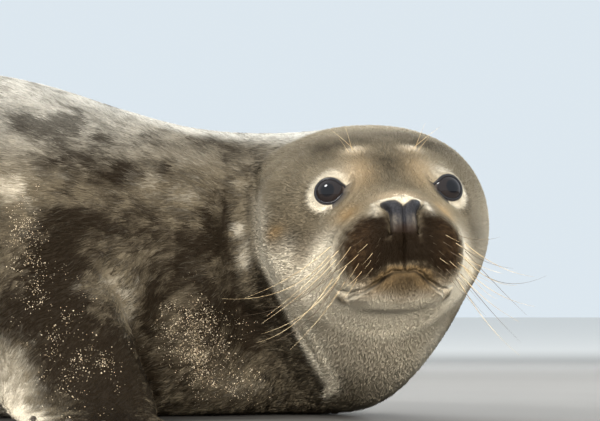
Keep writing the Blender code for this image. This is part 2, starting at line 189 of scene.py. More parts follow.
def edges_of(mesh):
    pairs = np.empty(len(mesh.edges) * 2, np.int32)
    mesh.edges.foreach_get("vertices", pairs)
    return pairs.reshape(-1, 2)


def put_points(mesh, points):
    mesh.vertices.foreach_set("co", np.ascontiguousarray(points, np.float32).ravel())
    mesh.update()


def as_mesh(solid, name):
    """The solid's shape as a new mesh. The solid is let go."""
    mesh = bpy.data.meshes.new(name)
    solid.to_mesh(mesh)
    solid.free()
    return mesh


def add_object(name, mesh, finish=None):
    piece = bpy.data.objects.new(name, mesh)
    bpy.context.scene.collection.objects.link(piece)
    if finish is not None:
        mesh.materials.append(finish)
    return piece


def made_final(piece):
    """The piece with its modifiers taken into its mesh."""
    graph = bpy.context.evaluated_depsgraph_get()
    mesh = bpy.data.meshes.new_from_object(piece.evaluated_get(graph))
    piece.modifiers.clear()
    piece.data = mesh
    return piece


def smooth_faces(mesh):
    mesh.polygons.foreach_set("use_smooth", np.ones(len(mesh.polygons), bool))


def set_values(mesh, name, values):
    kind, field = ("FLOAT", "value") if values.ndim == 1 else ("FLOAT_VECTOR", "vector")
    layer = mesh.attributes.new(name, kind, "POINT")
    layer.data.foreach_set(field, values.astype(np.float32).ravel())


def relaxed(points, edges, amount, rounds):
    """Each point drawn towards its neighbours' mean, by its own amount, this many times."""
    count = len(points)
    degree = np.maximum(np.bincount(edges.ravel(), minlength=count), 1)
    for _ in range(rounds):
        mean = np.stack([np.bincount(edges[:, 0], points[edges[:, 1], axis], count)
                         + np.bincount(edges[:, 1], points[edges[:, 0], axis], count)
                         for axis in range(3)], -1) / degree[:, None]
        points = points + (mean - points) * amount[:, None]
    return points


# ---- The skin ----
VOXEL = 0.0058                    # of the surface that makes the solids one
SWELLING = 0.0006                 # closes the thin cuts between the solids
WELD = 0.00001                    # corners closer than this are one
LOWEST_SKIN, LOWEST_TIP = 0.0012, 0.0003      # over the floor


def flesh_in_one():
    """The nodes of flesh and the eyeballs, swollen until they overlap, as one closed surface."""
    gathered = bmesh.new()
    for name in FLESH + ("eye_left", "eye_right"):
        solid = bmesh.new()
        solid.from_mesh(nodes[name].data)
        bmesh.ops.remove_doubles(solid, verts=solid.verts, dist=WELD)
        solid.normal_update()
        for v in solid.verts:
            v.co += v.normal * SWELLING
        copy = as_mesh(solid, "copy")
        gathered.from_mesh(copy)
        bpy.data.meshes.remove(copy)
    skin = add_object("skin", as_mesh(gathered, "skin"))
    remesh = skin.modifiers.new("one surface", "REMESH")
    remesh.mode = "VOXEL"
    remesh.voxel_size = VOXEL
    made_final(skin)
    return skin


def only_largest(solid):
    """Takes away any closed pocket left inside the surface."""
    unseen, largest = set(solid.verts), []
    while unseen:
        front = [unseen.pop()]
        island = []
        while front:
            vert = front.pop()
            island.append(vert)
            for edge in vert.link_edges:
                other = edge.other_vert(vert)
                if other in unseen:
                    unseen.discard(other)
                    front.append(other)
        if len(island) > len(largest):
            largest, island = island, largest
        bmesh.ops.delete(solid, geom=island, context="VERTS")


def limb_share(points):
    """1 on the free parts of the flippers and the tail, 0 on the trunk and head."""
    along = spine_place(points)[0]
    spread = np.abs(points[:, 1])
    fore = eased(spread, 0.165, 0.2) * eased(-along, -0.03, 0.0) * eased(along, -0.3, -0.26)
    fore *= 1 - eased(points[:, 2], 0.07, 0.12)
    hind = 1 - eased(along, -0.79, -0.74)
    return np.clip(fore + hind, 0, 1)


TRUNK_DEPTH, HEAD_DEPTH, LIMB_DEPTH = 0.0024, 0.0008, 0.001


def coat_depth(points):
    """How far the skin lies under the solids' surface."""
    head = eased(to_head(points)[:, 0], -0.13, -0.05) * past_bend(points)
    limb = limb_share(points)
    return (TRUNK_DEPTH - (TRUNK_DEPTH - HEAD_DEPTH) * head) * (1 - limb) + LIMB_DEPTH * limb


def refine(mesh, inside, amount, rounds):
    """Cuts each edge inside the given area in two, and evens the surface there."""
    marked = inside(points_of(mesh))
    solid = bmesh.new()
    solid.from_mesh(mesh)
    solid.verts.ensure_lookup_table()
    edges = [e for e in solid.edges if marked[e.verts[0].index] and marked[e.verts[1].index]]
    bmesh.ops.subdivide_edges(solid, edges=edges, cuts=1, use_grid_fill=True)
    solid.to_mesh(mesh)
    solid.free()
    points, edges = points_of(mesh), edges_of(mesh)
    soft = inside(points)
    soft[edges[soft[edges].any(1)]] = True
    put_points(mesh, relaxed(points, edges, amount * soft, rounds))


def head_area(points):
    return (to_head(points)[:, 0] > -0.115) & past_bend(points)


def face_area(points):
    return (to_head(points)[:, 0] > -0.008) & past_bend(points)


def fine_area(points):
    """Round the eyes, the nose and the mouth."""
    places = to_head(points)
    eyes = np.zeros(len(points), bool)
    for side in SIDES:
        away = places - np.array(EYE_PLACE) * (1, side, 1)
        eyes |= (np.linalg.norm(away, axis=1) < 0.0215) & (away @ (EYE_AXIS * (1, side, 1)) > 0.0)
    nose = (places[:, 0] > 0.062) & (np.abs(places[:, 1]) < 0.024) & (np.abs(places[:, 2] + 0.019) < 0.02)
    mouth = (places[:, 0] > 0.03) & (lip_distance(places) < 0.0045)
    return (eyes | nose | mouth) & past_bend(points)


# The parting of the lips seen from ahead, from its middle to its corner, as (left, up).
MOUTH = ((0, -0.0614), (0.008, -0.0622), (0.0143, -0.0655), (0.0195, -0.0704), (0.0304, -0.0756),
         (0.04, -0.0754), (0.046, -0.0722))


def distance_to(points, path):
    """From each point to the nearest place on a path of straight lengths."""
    best = np.full(len(points), 1.0)
    for a, b in zip(np.asarray(path, float), np.asarray(path, float)[1:]):
        run = b - a
        share = np.clip((points - a) @ run / (run @ run), 0, 1)
        best = np.minimum(best, np.linalg.norm(points - a - share[:, None] * run, axis=1))
    return best


def lip_distance(places):
    flat = seen_from_ahead(places)
    return distance_to(flat, MOUTH) + np.maximum(0.04 - places[:, 0], 0) * 0.5


# ---- Eyelids ----
LID_OPEN = 0.8                    # angle from the eye's axis to the lid's edge
CORNER_REACH = 0.3                # how much wider the opening is at its inner corner
LID_STAND = 0.0011                # the lid stands this far off the eyeball
LID_TUCK = 0.0025                 # inside the opening the skin lies this far behind the ball's surface


def eye_frame(side):
    """Centre and axes of an eye in head coordinates: where it looks, towards the nose, and up."""
    centre = np.array(EYE_PLACE) * (1, side, 1)
    look = unit(EYE_AXIS * (1, side, 1))
    upward = unit(np.array((0, 0, 1)) - look * look[2])
    inward = np.cross(look, upward) * side
    return centre, look, inward, upward


def lid_opening(around):
    """Angle from the eye's axis to the lid's edge. around: 0 towards the nose, a quarter turn up."""
    return LID_OPEN + CORNER_REACH * bell(np.sin((around - 0.1) / 2), 0.15) + 0.045 * np.cos(2 * around)


def eye_angles(places, side):
    """Angle from the eye's axis, angle around it, and distance from the eye's centre."""
    centre, look, inward, upward = eye_frame(side)
    away = places - centre
    reach = np.linalg.norm(away, axis=1)
    tilt = np.arccos(np.clip(away @ look / np.maximum(reach, 1e-9), -1, 1))
    around = np.arctan2(away @ upward, away @ inward)
    return tilt, around, reach


def lids(places):
    """Brings the skin round each eyeball to lids with an even edge, and behind the ball inside them."""
    for side in SIDES:
        centre = eye_frame(side)[0]
        tilt, around, reach = eye_angles(places, side)
        opening = lid_opening(around)
        over = eased(tilt / opening, 0.9, 1.05)
        stand = LID_STAND + 0.0012 * eased(tilt, opening, opening + 0.35) * (0.6 + 0.6 * np.sin(around))
        lid = EYE_RADIUS - LID_TUCK + over * (LID_TUCK + stand)
        keep = eased(tilt - opening, 0.1, 0.55)
        held = (reach < EYE_RADIUS + 0.012) & (tilt < 1.75)
        target = np.where(held, lid * (1 - keep) + reach * keep, reach)
        places = centre + (places - centre) * (target / np.maximum(reach, 1e-9))[:, None]
    return places


# ---- Face: bumps and creases, in head coordinates ----
def pushed(places, centre, reach, push):
    """A soft swelling or hollow, on both sides unless it is on the midline."""
    for side in SIDES if centre[1] else ONE:
        flip = np.array((1, side, 1))
        places = places + near(places, np.array(centre) * flip, reach)[:, None] * np.array(push) * flip
    return places


def creased(places, inward, path, width, depth):
    """A groove along a path seen from ahead, as (left, up), on both sides of the front of the face."""
    flat = seen_from_ahead(places)
    share = bell(distance_to(flat, path), width) * eased(places[:, 0], 0.05, 0.06)
    return places + inward * (depth * share)[:, None]


EAR = (-0.06, 0.0855, -0.009)     # the opening of the left ear
# Creases beside and under the nose, and round the whisker pads, as (left, up).
NOSTRIL = ((0.0176, -0.006), (0.015, -0.0098), (0.0124, -0.014), (0.011, -0.0185), (0.0108, -0.025),
           (0.0112, -0.033))
PAD_EDGE = ((0.024, -0.013), (0.035, -0.0165), (0.045, -0.024), (0.053, -0.036), (0.055, -0.05))
MIDLINE_CREASE = ((0, -0.01), (0, -0.06))
# Swellings and hollows of the face: centre, reach, and how far the middle is pushed.
FACE_BUMPS = (
    # the nose: its body, the arch over it, the two lobes and the notch between them, and its outer
    # rims, with the septum below
    ((0.075, 0.0, -0.0075), (0.014, 0.02, 0.0075), (0.0042, 0, 0.0034)),
    ((0.077, 0.0, -0.004), (0.013, 0.018, 0.0045), (0.0012, 0, 0.0022)),
    ((0.084, 0.0085, -0.0105), (0.012, 0.0052, 0.0055), (0.0026, 0.0, 0.0003)),
    ((0.084, 0.0, -0.0075), (0.012, 0.0026, 0.004), (-0.0016, 0.0, -0.001)),
    ((0.078, 0.0212, -0.0135), (0.014, 0.004, 0.006), (0.003, 0.0008, 0.0006)),
    ((0.088, 0.0058, -0.0265), (0.012, 0.0034, 0.01), (0.0014, 0.0, 0.0)),
    # whisker pads, plump beside the septum and above the lip, and the hollow between them
    ((0.074, 0.0275, -0.043), (0.024, 0.0145, 0.018), (0.006, 0.0016, -0.0004)),
    ((0.07, 0.019, -0.057), (0.022, 0.013, 0.0085), (0.0026, 0.0, -0.0004)),
    ((0.05, 0.049, -0.045), (0.016, 0.011, 0.018), (0.0008, 0.0014, 0.0)),
    ((0.088, 0.0, -0.048), (0.02, 0.005, 0.013), (-0.0038, 0.0, 0.0)),
    # the hollow under the eye, and the brow spot
    ((0.04, 0.042, -0.012), (0.014, 0.012, 0.012), (-0.0012, -0.0014, 0.0)),
    ((-0.01, 0.022, 0.049), (0.01, 0.006, 0.005), (0.0009, 0, 0.0012)),
    # lower lip
    ((0.07, 0.0, -0.068), (0.02, 0.016, 0.0045), (0.0022, 0, 0.0)),
)


def face_forms(mesh):
    """The nose, the whisker pads, the creases, the ears' openings, the parting of the lips and the lids."""
    places = to_head(points_of(mesh))
    for centre, reach, push in FACE_BUMPS:
        places = pushed(places, centre, reach, push)
    put_points(mesh, from_head(places))

    inward = -normals_of(mesh) @ HEAD_AXES.T
    for path, width, depth in ((PAD_EDGE, 0.006, 0.0014), (NOSTRIL, 0.0013, 0.0042),
                               (NOSTRIL[:4], 0.0024, 0.0016), (MIDLINE_CREASE, 0.0011, 0.0024)):
        places = creased(places, inward, path, width, depth)
    ear = np.minimum(*(np.linalg.norm(places - np.array(EAR) * (1, side, 1), axis=1) for side in SIDES))
    places = places + inward * (0.003 * bell(ear, 0.0024))[:, None]
    lip = lip_distance(places)
    reach = eased(places[:, 0], 0.03, 0.042)
    places = places + inward * (reach * (0.0044 * bell(lip, 0.0016) + 0.0016 * bell(lip, 0.0038)))[:, None]
    put_points(mesh, from_head(lids(places)))


# The fold behind the jaw on the right side, as (along, up).
JOWL_FOLD = ((0.391, 0.212), (0.391, 0.157), (0.394, 0.14), (0.402, 0.124), (0.431, 0.068), (0.452, 0.03))
# More folds and rolls of that side, as paths over the skin with a width and a depth. A roll has a
# negative depth.
NECK_FOLD = ((0.368, -0.08, 0.228), (0.367, -0.113, 0.187), (0.3695, -0.122, 0.153), (0.376, -0.115, 0.11),
             (0.385, -0.112, 0.085))
SHOULDER_FOLD = ((0.272, -0.16, 0.128), (0.285, -0.16, 0.105), (0.296, -0.16, 0.078),
                 (0.303, -0.165, 0.055))
SHOULDER_ROLL = ((0.284, -0.15, 0.138), (0.298, -0.15, 0.11), (0.308, -0.15, 0.085))
NECK_ROLL = ((0.376, -0.1, 0.205), (0.378, -0.118, 0.17), (0.381, -0.118, 0.135), (0.39, -0.115, 0.1))
FOLDS = ((NECK_FOLD, 0.0085, 0.0036), (SHOULDER_FOLD, 0.008, 0.005),
         (SHOULDER_ROLL, 0.012, -0.007), (NECK_ROLL, 0.007, -0.002))


def ahead_of(points, path):
    """How far each point lies ahead of a path that climbs the right side, given as (along, up)."""
    alongs, ups = np.array(path).T
    return points[:, 0] - np.interp(points[:, 2], ups[::-1], alongs[::-1])


def body_forms(points, outward):
    """Folds and rolls of the neck and shoulder, and hollows between the digits of each flipper."""
    gap = distance_to(points[:, (0, 2)], JOWL_FOLD)
    seen = eased(-points[:, 1], 0.03, 0.06) * (points[:, 0] < 0.5) * eased(points[:, 2], 0.02, 0.05)
    roll = eased(ahead_of(points, JOWL_FOLD), 0.0, 0.012) * bell(gap, 0.03)
    points = points + outward * (seen * (0.003 * roll - 0.0022 * bell(gap, 0.0085)))[:, None]
    for path, width, depth in FOLDS:
        points = points - outward * (depth * bell(distance_to(points, path), width))[:, None]
    for limb, _, claws in LIMBS:
        fore = limb == "fore_flipper"
        tips = [centre_of(claw) for claw in claws]
        for a, b in zip(tips, tips[1:]):
            tip = (a + b) / 2
            start = (0.5 * tip[0] + 0.13, math.copysign(0.22, tip[1])) if fore else (-0.46, tip[1] * 0.75)
            gap = distance_to(points[:, :2], (start, tip[:2]))
            share = eased(np.abs(points[:, 1]), 0.215, 0.25) if fore else eased(-points[:, 0], 0.44, 0.5)
            points = points - outward * (0.0016 * bell(gap, 0.0042) * share)[:, None]
    return points


def make_skin():
    skin = flesh_in_one()
    solid = bmesh.new()
    solid.from_mesh(skin.data)
    only_largest(solid)
    solid.to_mesh(skin.data)
    solid.free()
    mesh = skin.data
    points = points_of(mesh)
    face = eased(to_head(points)[:, 0], -0.075, -0.04) * past_bend(points)
    limb = limb_share(points)
    put_points(mesh, relaxed(points, edges_of(mesh), (0.5 - 0.34 * face) * (1 - limb) + 0.14 * limb, 26))
    points = points_of(mesh)
    along = spine_place(points)[0] - NECK_ARC
    jowl = eased(along, -0.05, -0.01) * (1 - eased(along, 0.02, 0.055))
    jowl *= 1 - eased(points[:, 2], 0.17, 0.23)
    put_points(mesh, relaxed(points, edges_of(mesh), 0.5 * jowl * (1 - limb_share(points)), 50))
    refine(mesh, head_area, 0.5, 2)
    refine(mesh, face_area, 0.4, 2)
    places = to_head(points_of(mesh))
    cheek = (1.2 * both(places, (0.034, 0.042, -0.086), (0.03, 0.02, 0.015))
             + 1.4 * both(places, (0.034, 0.045, -0.075), (0.018, 0.009, 0.008))
             + near(places, (0.045, 0, -0.095), (0.035, 0.045, 0.01))).clip(0, 0.7)
    put_points(mesh, relaxed(points_of(mesh), edges_of(mesh), cheek, 140))
    put_points(mesh, points_of(mesh) - normals_of(mesh) * coat_depth(points_of(mesh))[:, None])
    put_points(mesh, body_forms(points_of(mesh), normals_of(mesh)))
    refine(mesh, fine_area, 0.35, 2)
    face_forms(mesh)
    points = points_of(mesh)
    points[:, 2] = np.maximum(points[:, 2], LOWEST_SKIN)
    put_points(mesh, points)
    smooth_faces(mesh)
    return skin


# ---- Finishes ----
class Wire:
    """A value between a material's nodes. Sums and products of wires and numbers add Math nodes."""

    def __init__(self, finish, socket):
        self.finish, self.socket = finish, socket

    def _with(self, operation, *values):
        return self.finish.node("ShaderNodeMath", {"operation": operation}, dict(enumerate(values)))

    def __add__(self, other):
        return self._with("ADD", self, other)

    def __sub__(self, other):
        return self._with("SUBTRACT", self, other)

    def __rsub__(self, other):
        return self._with("SUBTRACT", other, self)

    def __mul__(self, other):
        return self._with("MULTIPLY", self, other)

    __radd__, __rmul__ = __add__, __mul__

    def held(self):
        """Kept between 0 and 1."""
        return self.finish.node("ShaderNodeClamp", {}, {0: self})

    def between(self, low, high):
        """0 at low and 1 at high, smoothly."""
        return self.finish.node("ShaderNodeMapRange", {"interpolation_type": "SMOOTHSTEP"},
                                {0: self, 1: low, 2: high, 3: 0.0, 4: 1.0})


class Finish:
    """A material under construction."""

    def __init__(self, name):
        self.material = bpy.data.materials.new(name)
        self.material.use_nodes = True
        self.tree = self.material.node_tree
        self.shader = self.tree.nodes["Principled BSDF"]

    def node(self, kind, settings, inputs, output=0):
        made = self.tree.nodes.new(kind)
        for name, value in settings.items():
            setattr(made, name, value)
        for name, value in inputs.items():
            self.feed(made.inputs[name], value)
        return Wire(self, made.outputs[output])

    def feed(self, socket, value):
        if isinstance(value, Wire):
            self.tree.links.new(value.socket, socket)
        elif socket.type == "RGBA" and len(value) == 3:
            socket.default_value = (*value, 1)
        else:
            socket.default_value = value

    def set(self, **values):
        for name, value in values.items():
            self.feed(self.shader.inputs[name.replace("_", " ").title().replace("Ior", "IOR")], value)
        return self.material

    def value(self, name):
        return self.node("ShaderNodeAttribute", {"attribute_name": name}, {}, "Fac")

    def place(self, name):
        return self.node("ShaderNodeAttribute", {"attribute_name": name}, {}, "Vector")

    def object_place(self):
        return self.node("ShaderNodeTexCoord", {}, {}, "Object")

    def scaled(self, vector, amounts):
        return self.node("ShaderNodeVectorMath", {"operation": "MULTIPLY"}, {0: vector, 1: amounts})

    def noise(self, vector, scale, detail=3.0, roughness=0.5, distortion=0.0):
        return self.node("ShaderNodeTexNoise", {}, {"Vector": vector, "Scale": scale, "Detail": detail,
                                                    "Roughness": roughness, "Distortion": distortion})

    def mixed(self, share, first, second):
        """The first colour where share is 0, the second where it is 1."""
        return self.node("ShaderNodeMix", {"data_type": "RGBA"}, {0: share, 6: first, 7: second}, 2)

    def bump(self, height, strength, distance):
        return self.node("ShaderNodeBump", {}, {"Height": height, "Strength": strength, "Distance": distance})


# ---- Markings ----
# Blotches of the right side: place along and up, reach along and up, and strength.
DARK_BLOTCHES = (
    (0.3, 0.203, 0.04, 0.011, 0.45), (0.205, 0.247, 0.016, 0.01, 0.5), (0.24, 0.098, 0.022, 0.018, 0.8),
    (0.234, 0.256, 0.013, 0.011, 0.8), (0.197, 0.256, 0.01, 0.01, 0.7), (0.224, 0.242, 0.022, 0.01, 0.6),
    (0.265, 0.239, 0.008, 0.007, 0.7), (0.302, 0.239, 0.008, 0.008, 0.6), (0.36, 0.235, 0.03, 0.012, 0.5),
    (0.283, 0.2105, 0.016, 0.011, 0.9), (0.32, 0.212, 0.008, 0.01, 0.5), (0.239, 0.217, 0.024, 0.016, 0.6),
    (0.245, 0.169, 0.03, 0.008, 0.8), (0.228, 0.142, 0.022, 0.018, 0.9), (0.23, 0.114, 0.015, 0.022, 1.0),
    (0.283, 0.032, 0.022, 0.03, 1.2), (0.197, 0.085, 0.02, 0.025, 0.8), (0.25, 0.059, 0.028, 0.024, 0.7),
    (0.335, 0.134, 0.014, 0.02, 0.6), (0.357, 0.157, 0.009, 0.022, 0.7), (0.359, 0.104, 0.018, 0.018, 0.65),
    (0.307, 0.1, 0.01, 0.02, 0.7), (0.386, 0.08, 0.02, 0.026, 0.6), (0.3, 0.16, 0.03, 0.014, 0.4))
PALE_BLOTCHES = (
    (0.386, 0.03, 0.03, 0.014, 0.5), (0.19, 0.06, 0.022, 0.03, 0.6), (0.208, 0.046, 0.018, 0.022, 0.4),
    (0.193, 0.236, 0.014, 0.01, 0.5), (0.192, 0.194, 0.02, 0.014, 1.1), (0.303, 0.201, 0.016, 0.011, 0.75),
    (0.335, 0.191, 0.012, 0.018, 0.5), (0.3796, 0.1975, 0.007, 0.006, 0.65), (0.28, 0.12, 0.014, 0.013, 0.6),
    (0.289, 0.098, 0.008, 0.016, 0.5), (0.19, 0.016, 0.036, 0.02, 1.1), (0.217, 0.004, 0.034, 0.013, 1.5),
    (0.348, 0.224, 0.03, 0.012, 0.5), (0.205, 0.165, 0.016, 0.012, 0.35), (0.29, 0.226, 0.01, 0.007, 0.5),
    (0.232, 0.206, 0.012, 0.008, 0.5), (0.366, 0.11, 0.01, 0.01, 0.35), (0.345, 0.128, 0.016, 0.012, 0.3),
    (0.257, 0.108, 0.012, 0.01, 0.4))
NECK_PATCHES = ((0.3787, 0.161, 0.005, 0.006, 0.75), (0.3835, 0.137, 0.0065, 0.013, 0.825))
# The lit leading edge of the right foreflipper, where a pale rim is painted as light.
LIT_LIMB_EDGE = ((0.262, -0.16, 0.112), (0.28, -0.162, 0.098), (0.291, -0.18, 0.07), (0.302, -0.2, 0.04),
             (0.318, -0.23, 0.01))
# The pale band under the jaw and the arch over the nose, seen from ahead, as (left, up).
JAW_BAND = ((0.064, -0.052), (0.058, -0.064), (0.0454, -0.076), (0.033, -0.085), (0.019, -0.088),
            (0, -0.093))
ARCH = ((0, -0.0072), (0.004, -0.0044), (0.0105, -0.0028), (0.016, -0.003), (0.0195, -0.0056))
# Half outlines seen from ahead, from the midline's top round to its bottom, as (left, up).
NOSE_OUTLINE = ((0, -0.0101), (0.0034, -0.0078), (0.0062, -0.0058), (0.011, -0.0052), (0.015, -0.0054),
                (0.0174, -0.0062), (0.0148, -0.01), (0.012, -0.0142), (0.0108, -0.0185), (0.0106, -0.025),
                (0.0098, -0.032), (0.0078, -0.042), (0.005, -0.051), (0, -0.055))
PAD_OUTLINE = ((0, -0.036), (0.01, -0.035), (0.0118, -0.018), (0.0165, -0.015), (0.024, -0.015),
               (0.033, -0.0185), (0.042, -0.0265), (0.047, -0.0385), (0.0465, -0.052), (0.042, -0.062),
               (0.033, -0.068), (0.023, -0.0655), (0.013, -0.058), (0, -0.056))

# Soft spots of the head: strength, sides, centre and reach.
BROW = ((-0.011, 0.0225, 0.0495), (0.012, 0.0085, 0.0042))
CORNER = ((0.036, 0.0435, -0.0757), (0.014, 0.0085, 0.006))       # of the mouth
CHEEK = ((0.032, 0.0545, -0.051), (0.026, 0.013, 0.0195))
PALE_SPOTS = (
    (0.55, SIDES, *BROW),
    (0.18, SIDES, (0.011, 0.031, 0.029), (0.016, 0.011, 0.012)),          # inner brow
    (0.35, ONE, (0.058, 0, 0.003), (0.012, 0.022, 0.005)),                # bridge
    (0.9, SIDES, (0.08, 0.0208, -0.014), (0.016, 0.0036, 0.0048)),        # beside the nose
    (0.35, SIDES, (-0.01, 0.07, -0.076), (0.04, 0.016, 0.011)),           # jaw
    (0.165, ONE, (-0.019, 0.077, -0.037), (0.018, 0.012, 0.015)),         # back of the left cheek
    (0.05, ONE, (-0.01, 0.07, -0.03), (0.03, 0.016, 0.045)),
    (0.45, ONE, (-0.02, 0.098, -0.02), (0.05, 0.016, 0.055)),
    (0.5, ONE, (-0.01, 0.062, -0.105), (0.05, 0.02, 0.03)),               # left of the throat
    (0.55, ONE, (-0.019, -0.077, -0.037), (0.018, 0.012, 0.015)),         # back of the right cheek
    (0.5, ONE, (-0.043, -0.0876, -0.0371), (0.03, 0.012, 0.014)),
    (0.5, ONE, (-0.018, -0.0704, -0.059), (0.02, 0.012, 0.012)),
    (0.7, ONE, (-0.004, -0.058, -0.077), (0.03, 0.022, 0.0085)))
TAN_SPOTS = (
    (0.9, SIDES, *BROW),
    (0.6, SIDES, (0.016, 0.024, 0.028), (0.026, 0.013, 0.02)),            # forehead
    (1, ONE, (0.058, 0, 0.003), (0.012, 0.026, 0.006)),                   # bridge
    (1, SIDES, (0.042, 0.037, -0.011), (0.016, 0.01, 0.01)),              # under the eye
    (0.8, ONE, (0.072, 0, -0.077), (0.03, 0.036, 0.012)),                 # chin
    (1.2, ONE, (-0.04, -0.0867, -0.0114), (0.02, 0.0075, 0.0055)),        # behind the right eye
    (0.5, ONE, (-0.03, -0.08, -0.045), (0.04, 0.04, 0.03)))
DARK_SPOTS = (
    (0.7, SIDES, (-0.005, 0.078, -0.021), (0.035, 0.018, 0.016)),         # outside and under the eye
    (0.3, SIDES, (-0.025, 0.074, 0.015), (0.03, 0.02, 0.026)),            # temple
    (0.25, SIDES, (-0.03, 0.04, 0.056), (0.025, 0.02, 0.012)),            # behind the brow spot
    (0.6, ONE, (0.02, 0, 0.033), (0.03, 0.015, 0.017)),                   # between the brows
    (0.75, ONE, (0.078, 0, -0.0665), (0.02, 0.017, 0.0035)),              # lower lip
    (0.7125, ONE, (0.075, 0, -0.0755), (0.03, 0.036, 0.009)),             # chin
    (0.75, SIDES, *CORNER))


def blotched(points, blotches):
    flat = points[:, (0, 2)] + 0.0035 * np.stack((wobble(points, 0.024, 41), wobble(points, 0.024, 42)), -1)
    return sum(strength * near(flat, (x, z), (reach_x, reach_z))
               for x, z, reach_x, reach_z, strength in blotches)


def spotted(places, spots):
    return sum(strength * near(places, np.array(centre) * (1, side, 1), reach)
               for strength, sides, centre, reach in spots for side in sides)


def outline_share(places, outline, low, high, shift=0):
    """By how far each place lies inside a half outline and its mirror image: 0 at low, 1 at high."""
    flat = seen_from_ahead(places)
    gap = distance_to(flat, outline)
    path = np.array(((-0.01, outline[0][1]), *outline, (-0.01, outline[-1][1])))
    inside = np.zeros(len(flat), bool)
    for a, b in zip(path, np.roll(path, -1, 0)):
        if a[1] != b[1]:
            crosses = (a[1] > flat[:, 1]) != (b[1] > flat[:, 1])
            inside ^= crosses & (flat[:, 0] < a[0] + (b[0] - a[0]) * (flat[:, 1] - a[1]) / (b[1] - a[1]))
    return eased(np.where(inside, gap, -gap) + shift, low, high)


def eye_marks(points, places):
    """The bare lids, the pale ring round each eye, and the short pale-and-dark dashes outside it."""
    lid, ring, dashes = np.zeros((3, len(points)))
    for side in SIDES:
        tilt, around, reach = eye_angles(places, side)
        lid += (reach < 0.022) * (1 - eased(tilt - lid_opening(around), 0.05, 0.11))
        # the ring is painted lighter round the right eye, where the light falls on it, and darker at its top
        # as painted shade under the upper lid
        strength = (0.44 + 0.16 * (side < 0) - 0.14 * np.sin(around) - 0.2 * eased(np.cos(around), 0.2, 1)
                    + 0.1 * wobble(points, 0.006, 91))
        ring += (1 - eased(reach, 0.017, 0.024)) * strength
        outer = eased(-np.cos(around - 0.35), 0.35, 0.75)
        band = eased(reach, 0.0195, 0.021) * (1 - eased(reach, 0.026, 0.029))
        dashes += outer * band * eased(np.sin(around * 30), -0.2, 0.5)
    return lid, ring, dashes


